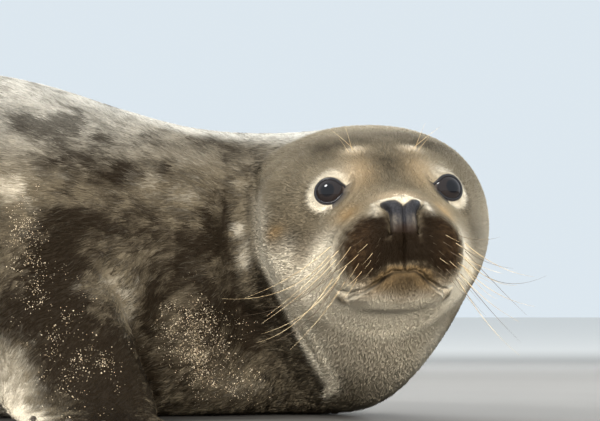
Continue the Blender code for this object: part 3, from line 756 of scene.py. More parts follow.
def markings(points):
    """Shares of the coat's colours at each point: body, back, rust, pale, tan, dark, bare skin, sand."""
    places = to_head(points)
    along, aside = spine_place(points)
    forward, left, up = places.T
    height, spread = points[:, 2], np.abs(left)
    limb = limb_share(points)
    side_place = points[:, (0, 2)]
    right_side = eased(-points[:, 1], 0.03, 0.06) * (points[:, 0] < 0.5)
    jowl_gap = distance_to(side_place, JOWL_FOLD) * np.sign(ahead_of(points, JOWL_FOLD))

    # where the head's markings give way to the body's: along the fold on the lower right side
    low_side = right_side * (1 - eased(height, 0.15, 0.2))
    soft = 0.014 * eased(height, 0.12, 0.18) + 0.014 * (1 - eased(height, 0.015, 0.06))
    on_head = eased(along, NECK_ARC - 0.05, NECK_ARC + 0.02) * past_bend(points)
    on_head = on_head * (1 - low_side) + low_side * eased(jowl_gap, -0.004 - soft, 0.002 + soft)
    body = 1 - on_head
    marks = {"body": np.clip(body + 0.3 * on_head * eased(up, 0.0, 0.03), 0, 1)}

    # body: pale grey under the ridge of the back with painted rim light along its top, darker down the
    # flanks, blotched all over
    shown = eased(-points[:, 1], 0.0, 0.07) * eased(points[:, 0], 0.13, 0.19)
    unseen = (1 - shown) * body
    flank = 1 - eased(height, 0.1, 0.26)
    dark = body * (0.3 + 0.26 * flank + 0.15 * limb) + shown * body * 0.8 * blotched(points, DARK_BLOTCHES)
    dark = dark + unseen * 0.42 * eased(wobble(points, 0.042, 31) + 0.6 * wobble(points, 0.017, 33), 0.1, 1.2)
    # painted light: a pale band along the lit leading edge of the right foreflipper
    rim = bell(distance_to(points, LIT_LIMB_EDGE), 0.012)
    pale = shown * body * (0.62 * blotched(points, PALE_BLOTCHES) + 0.15 * rim)
    mottle = eased(wobble(points, 0.046, 57) + 0.6 * wobble(points, 0.019, 58), 0.3, 1.4)
    pale = pale + unseen * 0.3 * (mottle + 1 - eased(height, 0.0, 0.06)) * (1 - 0.8 * limb)
    dark = dark * (1 - np.clip(pale, 0, 1))
    # painted shade in the fold of the neck: darker, and less pale
    shade = bell(distance_to(points, NECK_FOLD), 0.006)
    dark, pale = np.maximum(dark, 0.8 * shade), pale * (1 - 0.8 * shade)
    # painted shade in the fold behind the jaw on the right side
    crease_shade = right_side * bell(jowl_gap + 0.003, 0.0045) * (1 - 0.35 * eased(height, 0.12, 0.15))
    dark = np.maximum(dark, 0.75 * crease_shade)
    # the top of the back, and of the head behind the eyes: pale grey coat, with painted rim light on top
    back = eased(height, 0.195, 0.295) * (body * (1 - 0.55 * shown * eased(points[:, 0], 0.27, 0.34))
                                          + 0.12 * on_head * (1 - eased(forward, -0.06, 0.0)))
    # painted rim light: a pale band along the ridge of the back
    ridge = body * (1 - eased(np.abs(aside), 0.04, 0.08)) * eased(height, 0.17, 0.21)
    marks["back"] = np.maximum(back, ridge)

    # muzzle
    pad = outline_share(places, PAD_OUTLINE, -0.005, 0.0065, 0.0016 * wobble(points, 0.007, 77))
    pad *= on_head * (forward > 0.03)
    inner = pad * (1 - eased(spread, 0.014, 0.04)) * eased(-up, 0.012, 0.022)
    septum = (forward > 0.06) * (1 - eased(spread, 0.009, 0.013)) * eased(-up, 0.021, 0.029)
    septum *= 1 - eased(-up, 0.052, 0.058)
    nose = outline_share(places, NOSE_OUTLINE, -0.0006, 0.0008) * (forward > 0.06)
    nose *= 1 - eased(-up, 0.027, 0.036)
    flat = seen_from_ahead(places)
    arch = bell(distance_to(flat, ARCH), 0.0026) * eased(forward, 0.055, 0.062)
    strips = eased(spread, 0.0008, 0.0026) * (1 - eased(spread, 0.0088, 0.0104)) * eased(-up, 0.015, 0.0215)
    strips *= (1 - eased(-up, 0.0215, 0.034)) * (forward > 0.06) * (0.2 + 0.3 * eased(spread, 0.005, 0.008))
    lip = lip_distance(places)
    lip_line = bell(lip, 0.0018) * (forward > 0.03)
    lip_edge = bell(lip - 0.0038, 0.0034) * (forward > 0.03) * (1 - pad) * eased(-up, 0.055, 0.059)
    upper_lip = lip_edge * eased(spread, 0.02, 0.034) * (1 - eased(-up, 0.072, 0.076))

    # eyes, cheeks, jaw and throat
    lid, ring, dashes = eye_marks(points, places)
    cheek = np.clip(2.4 * both(places, *CHEEK), 0, 1) * (1 - pad)
    jowl = right_side * bell(jowl_gap - 0.0065, 0.0062) * (0.65 + 0.45 * (1 - eased(height, 0.13, 0.16)))
    jowl *= 1 - eased(height, 0.165, 0.2)
    jaw_band = bell(distance_to(flat, JAW_BAND), 0.009) * eased(forward, -0.04, -0.01)
    low_throat = (1 - eased(height, 0.01, 0.085)) * eased(-left, -0.06, 0.02)
    # the underside of the jaw: cream throat fur, brightened further as painted bounce light from the floor
    under = eased(-up, 0.074, 0.098) * (1 - low_throat)
    crown = eased(up, 0.03, 0.065) * eased(forward, -0.09, -0.03)
    neck_patch = right_side * sum(strength * near(side_place, (x, z), (reach_x, reach_z))
                                  for x, z, reach_x, reach_z, strength in NECK_PATCHES)
    corner = both(places, *CORNER)
    # face_pale also carries painted light: bounce light under the jaw, and the eye rings' painted light and
    # shade
    face_pale = (spotted(places, PALE_SPOTS) + ring + cheek + jowl + jaw_band + strips + 0.85 * arch
                 + 0.5 * under + 0.5 * upper_lip)
    face_pale *= on_head * (1 - lid) * (1 - 0.95 * corner) * (1 - 0.85 * dashes)
    face_dark = (spotted(places, DARK_SPOTS) + 0.95 * inner + 0.45 * dashes + 0.45 * crown + 0.5 * lip_line
                 + 0.5 * low_throat)
    marks["rust"] = np.maximum(pad, septum)
    marks["pale"] = np.clip(body * pale + neck_patch + face_pale, 0, 1)
    marks["tan"] = on_head * np.clip(spotted(places, TAN_SPOTS) + 1.2 * lip_edge, 0, 1)
    marks["dark"] = np.maximum(np.clip(dark + on_head * face_dark, 0, 1 + 0.5 * body), 0.9 * septum)
    marks["bare"] = np.clip(nose + lid, 0, 1) * on_head
    marks["sandy"] = shown * np.clip(
        blotched(points, [patch[:4] + ((patch[4] / FULL_SAND) ** 2,) for patch in SAND_PATCHES]), 0, 1)
    return marks


# Colours of the coat and the bare skin.
COAT = (0.15, 0.124, 0.084)
BODY_COAT = (0.06, 0.049, 0.034)
# pale grey of the back's top, also carrying painted rim light
BACK_AND_RIM_LIGHT = (0.43, 0.415, 0.37)
PALE = (0.64, 0.58, 0.465)
DARK = (0.008, 0.0052, 0.0028)
TAN = (0.27, 0.175, 0.08)
RUST = (0.012, 0.0062, 0.003)
RUST_FLECK = (0.11, 0.066, 0.032)
BARE = (0.01, 0.01, 0.012)
WORN_BARE = (0.045, 0.045, 0.05)
SEPTUM = (0.012, 0.007, 0.005)
STRIP = (0.115, 0.098, 0.076)
UNDER_COAT = (0.008, 0.0056, 0.0036)
SAND = (0.38, 0.31, 0.21)


def coat_finish(name, tufted):
    """Skin and coat share these markings. root is the place on the skin that a point belongs to."""
    finish = Finish(name)
    root, here = finish.place("root"), finish.object_place()
    body, back, dark, pale = (finish.value(mark) for mark in ("body", "back", "dark", "pale"))
    tan, rust = finish.value("tan"), finish.value("rust")
    mottle = finish.noise(root, 82.0, 5.0, 0.6, 0.6)
    cloud = finish.noise(root, 22.0, 3.0, 0.55)
    fleck = finish.noise(root, 190.0, 3.0, 0.6)
    speck = finish.noise(root, 420.0, 2.0, 0.6).between(0.45, 0.65)

    # ground colour, then dark and pale: blotched by noise on the body, smooth on the head
    colour = finish.mixed(body * 0.4, COAT, BODY_COAT)
    # the top of the back: pale grey coat and painted rim light
    colour = finish.mixed(back, colour, BACK_AND_RIM_LIGHT)
    colour = finish.mixed(cloud.between(0.4, 0.65) * 0.3 * (1.0 - pale), colour, UNDER_COAT)
    colour = finish.mixed(tan * 0.75, colour, TAN)
    colour = finish.mixed(fleck.between(0.5, 0.75) * (0.1 + body * 0.12) * (1.0 - dark), colour, PALE)
    spots = (dark + (mottle - 0.5) * 1.9 + (fleck - 0.5) * 0.9).between(0.12, 0.92)
    smooth = dark * (0.8 + mottle * 0.4)
    # dark blotches are fainter under the back's grey and painted rim light
    depth = 0.95 - back * 0.3
    colour = finish.mixed((smooth + (spots * depth - smooth) * body).held(), colour, DARK)
    patches = (pale + (mottle - 0.5) * 1.2 + (fleck - 0.5) * 0.6).between(0.14, 0.98) * (1.0 - dark * 0.9)
    colour = finish.mixed((pale + (patches - pale) * body) * (0.98 - fleck * 0.1), colour, PALE)

    # muzzle and sand
    flecks = (fleck.between(0.42, 0.62) * 0.18 + speck * 0.22) * (1.0 - dark)
    fur = finish.mixed(dark, finish.mixed(flecks, RUST, RUST_FLECK), DARK)
    colour = finish.mixed(rust * 0.97, colour, fur)
    drift = finish.noise(here, 130.0, 3.0).between(0.46, 0.6)
    dust = finish.noise(here, 800.0, 2.0).between(0.52, 0.66) * drift
    colour = finish.mixed(dust * finish.value("sandy") * 0.4, colour, SAND)

    if tufted:
        tip, shade = finish.value("tip"), finish.value("shade")
        bright = shade.between(0.8, 1.0) * (0.1 + body * 0.08) * tip * (1.0 - dark * 0.7) * (1.0 - rust)
        colour = finish.mixed((0.14 + body * 0.28 - tip * 0.5).held(), colour, UNDER_COAT)
        colour = finish.mixed(bright, colour, PALE)
        colour = finish.mixed((0.1 + body * 0.1 - shade * 0.6).held(), colour, DARK)
        return finish.set(base_color=colour, roughness=0.75, specular_ior_level=0.05)

    bare = finish.value("bare")
    strand = finish.noise(finish.place("strand"), 1.0, 3.0, 0.6)
    colour = finish.mixed(0.12 + strand.between(0.35, 0.65) * (0.14 + body * 0.12), colour, UNDER_COAT)
    grain = finish.noise(here, 900.0, 2.0)
    wrinkle = finish.noise(finish.scaled(here, (1.0, 1.0, 0.45)), 620.0, 3.0, 0.65).between(0.3, 0.7)
    bare_colour = finish.mixed(grain.between(0.3, 0.9) * 0.5, BARE, WORN_BARE)
    bare_colour = finish.mixed(rust, bare_colour, SEPTUM)
    colour = finish.mixed(bare, colour, finish.mixed(pale * (0.35 + wrinkle * 0.9), bare_colour, STRIP))
    relief = strand * (1.0 - bare) + (grain * 0.4 + wrinkle * 0.5) * bare
    return finish.set(base_color=colour, roughness=0.8 - bare * (1.0 - pale) * 0.28, specular_ior_level=0.14,
                      normal=finish.bump(relief, 0.35, 0.0008))


def strand_place(points):
    """A place for each point that changes slowly along the lie of the hair and fast across it."""
    places = to_head(points)
    along, side = spine_place(points)
    away = places - NOSE_TIP
    reach = np.linalg.norm(away, axis=1)
    on_head = (along > NECK_ARC + 0.02) & past_bend(points)
    body = np.stack((along / 0.01, side / 0.0012, points[:, 2] / 0.0012), -1)
    head = np.stack((reach / 0.007, away[:, 1] / reach * 80, away[:, 2] / reach * 80), -1)
    return np.where(on_head[:, None], head, body)


def paint(mesh, points):
    """Gives a mesh the markings of the skin at these points, one for each of its vertices."""
    for name, values in markings(points).items():
        set_values(mesh, name, values)
    set_values(mesh, "root", points)
    set_values(mesh, "strand", strand_place(points))


# ---- Eyes ----
def make_eye(side, name, finish):
    """An eyeball with a clear bulge in front, its pole where it looks."""
    centre, look, inward, upward = eye_frame(side)
    solid = bmesh.new()
    bmesh.ops.create_uvsphere(solid, u_segments=64, v_segments=40, radius=EYE_RADIUS)
    for v in solid.verts:
        tilt = math.acos(max(-1, min(1, v.co.z / v.co.length)))
        v.co *= 1 + 0.035 * math.exp(-(tilt / 0.62) ** 4)
        place = centre + inward * v.co.x + upward * v.co.y + look * v.co.z
        v.co = Vector(from_head(place))
    bmesh.ops.recalc_face_normals(solid, faces=solid.faces)
    mesh = as_mesh(solid, name)
    smooth_faces(mesh)
    set_values(mesh, "tilt", eye_angles(to_head(points_of(mesh)), side)[0])
    eye = add_object(name, mesh, finish)
    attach(eye, "root")
    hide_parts(name.replace("eyeball", "eye"))
    return eye


def eye_finish():
    finish = Finish("eye")
    tilt = finish.value("tilt")
    streak = finish.noise(finish.object_place(), 700.0, 2.0)
    iris = tilt.between(0.34, 0.42) * (1.0 - tilt.between(0.8, 0.95))
    colour = finish.mixed(iris * (0.35 + streak * 0.5), (0.003, 0.003, 0.004), (0.014, 0.01, 0.009))
    colour = finish.mixed(tilt.between(0.82, 1.0), colour, (0.05, 0.04, 0.035))
    return finish.set(base_color=colour, roughness=0.04, specular_ior_level=0.4)


def make_lid_edges(finish):
    """The wet dark rims that close the gap between lid and eyeball."""
    solid = bmesh.new()
    count, ring_count = 96, 8
    for side in SIDES:
        centre, look, inward, upward = eye_frame(side)
        rings = []
        for n in range(count):
            around = 2 * math.pi * n / count
            tilt = float(lid_opening(np.array(around))) * 0.985
            flat = math.cos(around) * inward + math.sin(around) * upward
            out = math.cos(tilt) * look + math.sin(tilt) * flat
            across = -math.sin(tilt) * look + math.cos(tilt) * flat
            ring = []
            for m in range(ring_count):
                turn = 2 * math.pi * m / ring_count
                place = (centre + out * (EYE_RADIUS + 0.0003 + 0.00085 * math.cos(turn))
                         + across * 0.001 * math.sin(turn))
                ring.append(solid.verts.new(Vector(from_head(place))))
            rings.append(ring)
        for a, b in zip(rings, rings[1:] + rings[:1]):
            for m in range(ring_count):
                k = (m + 1) % ring_count
                solid.faces.new((a[m], a[k], b[k], b[m]))
    bmesh.ops.recalc_face_normals(solid, faces=solid.faces)
    mesh = as_mesh(solid, "lid_edges")
    smooth_faces(mesh)
    edges = add_object("lid_edges", mesh, finish)
    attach(edges, "root")
    return edges


def wet_finish():
    finish = Finish("wet_skin")
    grain = finish.noise(finish.object_place(), 1200.0, 2.0)
    return finish.set(base_color=finish.mixed(grain * 0.4, (0.006, 0.006, 0.007), (0.03, 0.028, 0.03)),
                      roughness=0.25, normal=finish.bump(grain, 0.2, 0.0003))


# ---- Claws ----
def make_claws(finish):
    for limb, side, names in LIMBS:
        solid = bmesh.new()
        for name in names:
            solid.from_mesh(nodes[name].data)
        bmesh.ops.remove_doubles(solid, verts=solid.verts, dist=WELD)
        mesh = as_mesh(solid, f"claws_{limb}_{side}")
        smooth_faces(mesh)
        claws = add_object(mesh.name, mesh, finish)
        curve = claws.modifiers.new("rounded", "SUBSURF")
        curve.levels = curve.render_levels = 2
        made_final(claws)
        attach(claws, "root")
        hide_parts(*names)


def claw_finish():
    finish = Finish("claw")
    place = finish.object_place()
    streak = finish.noise(finish.scaled(place, (1.0, 4.0, 4.0)), 160.0, 3.0)
    colour = finish.mixed(streak.between(0.35, 0.7), (0.022, 0.018, 0.015), (0.085, 0.07, 0.055))
    return finish.set(base_color=colour, roughness=0.28 + streak * 0.2, coat_weight=0.3, coat_roughness=0.2,
                      normal=finish.bump(streak, 0.3, 0.0004))


# ---- Coat ----
def coat_lie(points, normals):
    """The way the hair lies at each point: back from the nose and along the body, down the limbs."""
    along = spine_place(points)[0]
    turn = neck_turn(points)
    places = to_head(points)
    body = np.stack((-np.cos(turn), np.sin(turn), -0.25 * eased(-points[:, 2], -0.24, -0.1)), -1)
    from_nose = unit(places - NOSE_TIP) @ HEAD_AXES
    on_head = (eased(along, NECK_ARC - 0.02, NECK_ARC + 0.07) * past_bend(points))[:, None]
    lie = body * (1 - on_head) + from_nose * on_head
    limb = limb_share(points) * (points[:, 0] > 0)
    outward = np.stack((np.full(len(points), -0.35), np.sign(points[:, 1]), np.full(len(points), -0.3)), -1)
    shoulder = eased(np.abs(points[:, 1]), 0.1, 0.17) * eased(points[:, 0], 0.15, 0.2)
    shoulder *= (1 - eased(points[:, 0], 0.3, 0.34)) * (1 - eased(points[:, 2], 0.12, 0.18)) * (1 - limb)
    lie = lie * (1 - limb)[:, None] + outward * limb[:, None] + shoulder[:, None] * np.array((0, 0, -0.8))
    lie = unit(lie - normals * (lie * normals).sum(-1, keepdims=True))
    across = np.cross(normals, lie)
    sway = 0.2 * wobble(points, 0.055, 11) + (0.14 - 0.12 * on_head[:, 0]) * wobble(points, 0.016, 12)
    return unit(lie + across * sway[:, None])


# Length, width and height of the tip of a tuft on the trunk, how much less each is on the head and
# on the front of the face, and the same three on the limbs.
TRUNK_TUFT = (0.0083, 0.00105, 0.0018)
HEAD_LESS = (0.0018, 0.00049, 0.0011)
FACE_LESS = (0.0027, 0.00016, 0.0002)
LIMB_TUFT = (0.0055, 0.0008, 0.0006)


def tuft_sizes(points):
    """Length, width and height of the tip of the tufts that grow at each point."""
    places = to_head(points)
    along = spine_place(points)[0]
    head = eased(along, NECK_ARC - 0.04, NECK_ARC + 0.1) * past_bend(points)
    face = eased(places[:, 0], -0.03, 0.05) * past_bend(points)
    limb = limb_share(points)
    length, width, lift = (
        (trunk - head_less * head - face_less * face) * (1 - limb) + on_limb * limb
        for trunk, head_less, face_less, on_limb in zip(TRUNK_TUFT, HEAD_LESS, FACE_LESS, LIMB_TUFT))
    fringe = near(points, (0.19, -0.2, 0.01), (0.045, 0.06, 0.022))        # behind the right foreflipper
    length, lift = length * (1 + 0.9 * fringe), lift * (1 + 1.5 * fringe)
    close = np.ones(len(points))
    for side in SIDES:
        tilt, around, reach = eye_angles(places, side)
        gap = np.where(reach < 0.035, tilt - lid_opening(around), 9)
        close = np.minimum(close, 0.4 + 0.6 * eased(gap, 0.1, 0.7))
    close = np.minimum(close, 1 - 0.35 * near(places, (0.085, 0, -0.02), (0.03, 0.028, 0.03)))
    close = np.minimum(close, 1 - 0.45 * both(places, (0.075, 0.028, -0.042), (0.03, 0.022, 0.026)))
    return length * close, width * np.sqrt(close), lift * close


LAYERS = 1.05                     # tufts over any point of the skin
PIECE_TRIANGLES = 190000          # at most, in one piece of the coat


def scatter(mesh):
    """Roots of the tufts over the skin, as even as chance allows: points and outward directions."""
    mesh.calc_loop_triangles()
    corners = np.empty(len(mesh.loop_triangles) * 3, np.int32)
    mesh.loop_triangles.foreach_get("vertices", corners)
    corners = corners.reshape(-1, 3)
    points, normals = points_of(mesh), normals_of(mesh)
    a, b, c = (points[corners[:, n]] for n in range(3))
    areas = np.linalg.norm(np.cross(b - a, c - a), axis=1) / 2
    middle = (a + b + c) / 3
    length, width, _ = tuft_sizes(middle)
    wanted = areas * LAYERS / (length * width * 0.5)
    count = np.floor(wanted + rng.random(len(wanted))).astype(int)
    face = np.repeat(np.arange(len(count)), count)
    u, v = rng.random(len(face)), rng.random(len(face))
    fold = u + v > 1
    u[fold], v[fold] = 1 - u[fold], 1 - v[fold]
    blend = np.stack((1 - u - v, u, v), -1)[:, :, None]
    roots = (points[corners[face]] * blend).sum(1)
    outward = unit((normals[corners[face]] * blend).sum(1))
    return roots, outward


def tuft_mesh(name, roots, outward, finish, unwrap):
    """One closed blade for each root: two buried corners, a ridge over them, and a tip."""
    length, width, lift = tuft_sizes(roots)
    count = len(roots)
    chance = np.random.default_rng(len(name) * 101 + count)
    loose = (0.055 + 0.135 * eased(length, 0.0066, 0.008)) * chance.normal(0, 1, count)
    length = (length * chance.uniform(0.65, 1.35, count))[:, None]
    width = (width * chance.uniform(0.7, 1.3, count))[:, None]
    lift = (lift * chance.uniform(0.4, 1.3, count))[:, None]
    lie = coat_lie(roots, outward)
    lie = unit(lie + np.cross(outward, lie) * loose[:, None])
    across = np.cross(outward, lie)
    base = roots - outward * lift * 0.35
    points = np.stack((base - across * width / 2,
                       base + across * width / 2,
                       roots + outward * (lift * 0.15 + width * 0.25) + lie * length * 0.12,
                       roots + lie * length + outward * lift), 1).reshape(-1, 3)
    points[:, 2] = np.maximum(points[:, 2], LOWEST_TIP)
    corners = np.array(((0, 1, 2), (0, 3, 1), (1, 3, 2), (2, 3, 0)), np.int32)[:, ::-1]
    faces = (np.arange(count, dtype=np.int32)[:, None, None] * 4 + corners).reshape(-1, 3)
    mesh = bpy.data.meshes.new(name)
    mesh.vertices.add(len(points))
    mesh.loops.add(faces.size)
    mesh.polygons.add(len(faces))
    mesh.vertices.foreach_set("co", points.astype(np.float32).ravel())
    mesh.loops.foreach_set("vertex_index", faces.ravel())
    mesh.polygons.foreach_set("loop_start", np.arange(len(faces), dtype=np.int32) * 3)
    smooth_faces(mesh)
    mesh.update(calc_edges=True)
    layer = mesh.uv_layers.new(name="OFBake")
    patch = np.array(((-0.0015, 0), (0.0015, 0), (0, 0.001), (0, 0.003)))
    spots = unwrap(roots) * 0.99 + 0.003
    spread = (spots[:, None] + patch).reshape(-1, 2)
    layer.uv.foreach_set("vector", spread[faces.ravel()].astype(np.float32).ravel())
    for mark, values in markings(roots).items():
        set_values(mesh, mark, np.repeat(values, 4))
    set_values(mesh, "root", np.repeat(roots, 4, 0))
    set_values(mesh, "tip", np.tile((0.0, 0.0, 0.35, 1.0), count))
    set_values(mesh, "shade", np.repeat(chance.random(count), 4))
    coat = add_object(name, mesh, finish)
    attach(coat, "root")
    return coat


def round_unwrap(low, high):
    """Along the spine and round it, for a length of the trunk or neck."""
    def unwrap(points):
        along, side = spine_place(points)
        around = np.arctan2(side, points[:, 2] - 0.13) / (2 * math.pi) + 0.5
        return np.clip(np.stack(((along - low) / (high - low), around), -1), 0, 1)
    return unwrap


def face_unwrap(points):
    """Out from the nose in every direction, for the head."""
    places = unit(to_head(points) - (-0.02, 0, -0.025))
    tilt = np.arccos(np.clip(places[:, 0], -1, 1)) / math.pi
    around = np.arctan2(places[:, 2], places[:, 1])
    return 0.5 + 0.5 * np.stack((tilt * np.cos(around), tilt * np.sin(around)), -1)


def flipper_unwrap(points):
    """Upper and lower sides of the flippers and the tail side by side."""
    low, high = points.min(0), points.max(0)
    flat = (points - low) / (high - low)
    fore_middle = 0.01 + 0.1 * (0.3 - np.abs(points[:, 1])).clip(0)
    under = points[:, 2] < np.where(points[:, 0] > 0, fore_middle, 0.05)
    return np.stack((flat[:, 0], flat[:, 1] * 0.49 + 0.5 * under), -1)


def make_coat(skin, finish):
    roots, outward = scatter(skin.data)
    bare = markings(roots)["bare"]
    places = to_head(roots)
    mouth = (lip_distance(places) < 0.0011) & (places[:, 0] > 0.036) & past_bend(roots)
    hidden = np.zeros(len(roots), bool)
    for side in SIDES:
        tilt, around, reach = eye_angles(places, side)
        hidden |= (reach < 0.024) & (tilt < lid_opening(around) + 0.09)
    grown = (bare < 0.5) & ~mouth & ~hidden & (roots[:, 2] > 0.001)
    roots, outward = roots[grown], outward[grown]
    along = spine_place(roots)[0]
    limb = limb_share(roots) > 0.5
    head = (along > NECK_ARC + 0.02) & past_bend(roots) & ~limb
    trunk = ~limb & ~head
    unwraps = {"coat_head": face_unwrap, "coat_flippers": flipper_unwrap}
    for chosen, name in ((head, "coat_head"), (limb, "coat_flippers"), (trunk, "coat_trunk")):
        order = np.flatnonzero(chosen)
        order = order[np.argsort(along[order])]
        pieces = max(1, math.ceil(len(order) * 4 / PIECE_TRIANGLES))
        for n, part in enumerate(np.array_split(order, pieces), 1):
            unwrap = unwraps.get(name) or round_unwrap(along[part].min(), along[part].max())
            tuft_mesh(f"{name}_{n}", roots[part], outward[part], finish, unwrap)
    print("tufts", len(roots))


# ---- Whiskers ----
def hairs(name, strands, finish):
    """Thin tapered tubes. Each strand is its points and its thickness at the root."""
    curve = bpy.data.curves.new(name, "CURVE")
    curve.dimensions = "3D"
    curve.bevel_depth = 1.0
    curve.bevel_resolution = 0
    curve.use_fill_caps = True
    for points, radius in strands:
        spline = curve.splines.new("POLY")
        spline.points.add(len(points) - 1)
        for n, (point, place) in enumerate(zip(spline.points, points)):
            point.co = (*place, 1)
            point.radius = radius * (1 - 0.85 * n / (len(points) - 1))
    tube = bpy.data.objects.new(name, curve)
    bpy.context.scene.collection.objects.link(tube)
    graph = bpy.context.evaluated_depsgraph_get()
    mesh = bpy.data.meshes.new_from_object(tube.evaluated_get(graph))
    bpy.data.objects.remove(tube)
    mesh.name = name
    mesh.materials.clear()
    smooth_faces(mesh)
    piece = add_object(name, mesh, finish)
    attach(piece, "root")
    return piece


HAIR_POINTS = 12


def strand(tree, root, direction, length, sag, radius):
    """A hair from the skin nearest to root, both in head coordinates, bending as it goes."""
    place, outward, _, _ = tree.find_nearest(Vector(from_head(root)))
    start = np.array(place) - np.array(outward) * 0.0015
    heading = unit(np.array(direction)) @ HEAD_AXES
    bend = np.array(sag) @ HEAD_AXES
    shares = np.linspace(0, 1, HAIR_POINTS)[:, None]
    return start + heading * length * shares + bend * length * shares ** 2, radius


BROW_HAIRS = ((0.8, 0.62, 0.036), (0.3, 0.85, 0.03), (0.55, 0.7, 0.02))      # out, up and length
PAD_ROWS = (4, 5, 6, 6, 6, 5)     # whiskers in each row, from the top


def make_whiskers(tree, finishes):
    """Rows of whiskers on each pad, short and dark at the nose and long and pale at the cheek, and the
    hairs of the brow spots."""
    chance = np.random.default_rng(21)
    strands = {"pale": [], "dark": []}
    for side in SIDES:
        for row, count in enumerate(PAD_ROWS):
            up = -0.034 - 0.0062 * row
            for n in range(count):
                share = n / (count - 1)
                left = 0.018 + 0.031 * share + 0.0015 * (row % 2)
                length = (0.01 + 0.1 * share ** 1.7) * chance.uniform(0.7, 1.1) * (0.8 if side > 0 else 1)
                direction = chance.normal(0, 0.08, 3) + (0.6 - 0.7 * share, (0.25 + 0.55 * share) * side,
                                                         -0.3 - (0.4 + 0.12 * row) * share)
                sag = (-0.12 * share, chance.uniform(0.0, 0.22) * side,
                       chance.uniform(0.05, 0.6) * share - 0.1 * (1 - share))
                shade = "dark" if share < 0.15 or chance.random() < (0.35 if side < 0 else 0.65) else "pale"
                strands[shade].append(strand(tree, (0.092 - 0.044 * share ** 1.5, left * side, up), direction,
                                             length, sag, 0.0003 * (0.5 + 0.5 * share)))
        for n, (out, lean, length) in enumerate(BROW_HAIRS):
            strands["pale"].append(strand(tree, (-0.01, (0.0225 + 0.003 * n) * side, 0.0495),
                                          (0.75, out * side, lean), length, (-0.1, 0, -0.06), 0.00024))
    for shade, finish in finishes.items():
        hairs(f"whiskers_{shade}", strands[shade], finish)


# ---- Sand ----
# Where sand clings to the right side: place along and up, reach along and up, and grains.
SAND_PATCHES = ((0.204, 0.15, 0.01, 0.028, 480), (0.25, 0.05, 0.024, 0.026, 460),
                (0.345, 0.066, 0.017, 0.022, 1500), (0.372, 0.034, 0.024, 0.014, 500),
                (0.225, 0.1, 0.022, 0.03, 220), (0.33, 0.085, 0.012, 0.012, 160))
FULL_SAND = 1500                  # a patch with this many grains is dusted in full
BRIDGE_GRAINS = 34                # on the bridge of the nose
CLUMP_REACH = 0.0034              # of the grains that lie together


def make_sand(tree, finish):
    """Grains lying on the coat, each a small uneven stone."""
    chance = np.random.default_rng(33)
    places = []
    for x, z, reach_x, reach_z, count in SAND_PATCHES:
        clumps = [(x + chance.normal(0, reach_x * 0.8), z + chance.normal(0, reach_z * 0.8))
                  for _ in range(count // 9)]
        for _ in range(count):
            clump = clumps[int(chance.random() ** 1.6 * len(clumps))]
            start = (clump[0] + chance.normal(0, CLUMP_REACH), -0.6,
                     max(0.004, clump[1] + chance.normal(0, CLUMP_REACH)))
            place, outward, _, _ = tree.ray_cast(Vector(start), Vector((0, 1, 0)))
            if place is not None:
                places.append((place, outward))
    for _ in range(BRIDGE_GRAINS):
        away = [chance.normal(0, reach) for reach in (0.004, 0.008, 0.003)]
        place = from_head(np.array((0.075, 0, 0.01)) + away)
        places.append(tree.find_nearest(Vector(place))[:2])
    solid = bmesh.new()
    for place, outward in places:
        size = chance.uniform(0.00018, 0.00042) * (1.7 if chance.random() < 0.12 else 1)
        stone = bmesh.ops.create_icosphere(solid, subdivisions=1, radius=size)["verts"]
        squash = chance.uniform(0.65, 1.2, 3)
        height = chance.uniform(0.0006, 0.0022)
        for v in stone:
            v.co = Vector(np.array(v.co) * squash * chance.uniform(0.88, 1.1)) + place + outward * height
    sand = add_object("sand_grains", as_mesh(solid, "sand_grains"), finish)
    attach(sand, "root")


def sand_finish():
    finish = Finish("sand")
    place = finish.object_place()
    tone = finish.noise(place, 420.0, 1.0)
    brown = finish.noise(place, 300.0, 1.0).between(0.54, 0.62)
    colour = finish.mixed(tone.between(0.35, 0.65), (0.26, 0.2, 0.125), (0.56, 0.48, 0.36))
    colour = finish.mixed(brown * 0.8, colour, (0.12, 0.078, 0.042))
    return finish.set(base_color=colour, roughness=0.45)


def whisker_finish(name, first, second):
    finish = Finish(name)
    tone = finish.noise(finish.object_place(), 60.0, 2.0)
    return finish.set(base_color=finish.mixed(tone.between(0.4, 0.6), first, second), roughness=0.65,
                      specular_ior_level=0.2)


# ---- Floor, light, camera ----
def area_light(name, place, target, size, power, colour, mirrored=False, spread=180):
    """A soft lamp. Only a mirrored one shows as a highlight in wet and glossy things."""
    light = bpy.data.lights.new(name, "AREA")
    light.shape = "ELLIPSE"
    light.size, light.size_y = size
    light.energy = power
    light.spread = math.radians(spread)
    light.color = colour
    lamp = bpy.data.objects.new(name, light)
    bpy.context.scene.collection.objects.link(lamp)
    lamp.visible_glossy = mirrored
    lamp.location = place
    lamp.rotation_euler = (Vector(target) - Vector(place)).to_track_quat("-Z", "Y").to_euler()


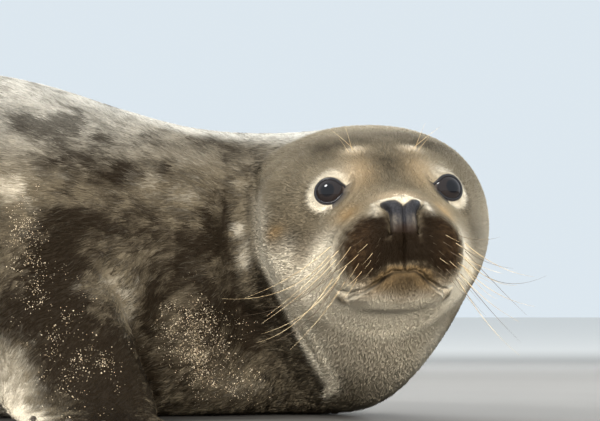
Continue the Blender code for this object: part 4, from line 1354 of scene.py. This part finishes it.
def make_stage():
    solid = bmesh.new()
    bmesh.ops.create_grid(solid, x_segments=1, y_segments=1, size=12)
    mesh = as_mesh(solid, "floor")
    finish = Finish("floor")
    place = finish.object_place()
    # the floor is dark near the seal and pale from 0.85 m behind it: the pale far floor is painted light
    # where the lamps do not reach
    away = finish.node("ShaderNodeSeparateXYZ", {}, {0: place}, 1).between(0.85, 2.7)
    grain = finish.noise(place, 6.0, 4.0)
    near_colour = finish.mixed(grain, (0.11, 0.105, 0.097), (0.126, 0.12, 0.112))
    colour = finish.mixed(away, near_colour, (0.8, 0.78, 0.75))
    floor = add_object("floor", mesh, finish.set(base_color=colour, roughness=0.9, specular_ior_level=0.1))
    world = bpy.data.worlds.new("studio")
    bpy.context.scene.world = world
    world.use_nodes = True
    background = world.node_tree.nodes["Background"]
    background.inputs["Color"].default_value = (0.8, 0.89, 0.96, 1)
    background.inputs["Strength"].default_value = 0.9
    middle = (0.35, -0.1, 0.15)
    area_light("sun", (-0.9, -0.95, 2.15), middle, (0.7, 0.7), 38, (1.0, 0.98, 0.95), mirrored=True)
    area_light("fill", (-1.6, -3.3, 1.3), middle, (5.0, 2.4), 215, (1.0, 0.965, 0.91))
    area_light("bounce", (1.0, -2.2, 0.26), (0.45, -0.25, 0.08), (1.8, 0.45), 38, (1.0, 0.95, 0.86),
               spread=110)
    area_light("back", (-0.15, 1.7, 1.25), middle, (2.4, 0.8), 42, (0.97, 0.99, 1.0), spread=90)
    area_light("rim", (1.9, 1.2, 1.0), (0.5, -0.2, 0.15), (1.4, 1.0), 34, (0.9, 0.95, 1.0), spread=90)
    bpy.context.scene.view_settings.view_transform = "Standard"


def make_camera():
    camera = bpy.data.cameras.new("camera")
    camera.sensor_width = 36
    camera.lens = 127.5
    placed = bpy.data.objects.new("camera", camera)
    bpy.context.scene.collection.objects.link(placed)
    placed.location = (MID_EYE[0] - 0.0704, MID_EYE[1] - 1.7, 0.1)
    placed.rotation_euler = (math.radians(92.47), 0, 0)
    bpy.context.scene.camera = placed


make_stage()
make_camera()
skin = make_skin()
paint(skin.data, points_of(skin.data))
skin.data.materials.append(coat_finish("skin", False))
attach(skin, "root")
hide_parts(*FLESH)
print("skin triangles", sum(len(p.vertices) - 2 for p in skin.data.polygons))
eye_look = eye_finish()
make_eye(1, "eyeball_left", eye_look)
make_eye(-1, "eyeball_right", eye_look)
make_lid_edges(wet_finish())
make_claws(claw_finish())
skin_tree = BVHTree.FromPolygons([v.co for v in skin.data.vertices], [p.vertices for p in skin.data.polygons])
make_whiskers(skin_tree, {"pale": whisker_finish("pale_whisker", (0.52, 0.42, 0.26), (0.34, 0.25, 0.14)),
                          "dark": whisker_finish("dark_whisker", (0.06, 0.045, 0.03), (0.12, 0.09, 0.06))})
make_sand(skin_tree, sand_finish())
make_coat(skin, coat_finish("coat", True))
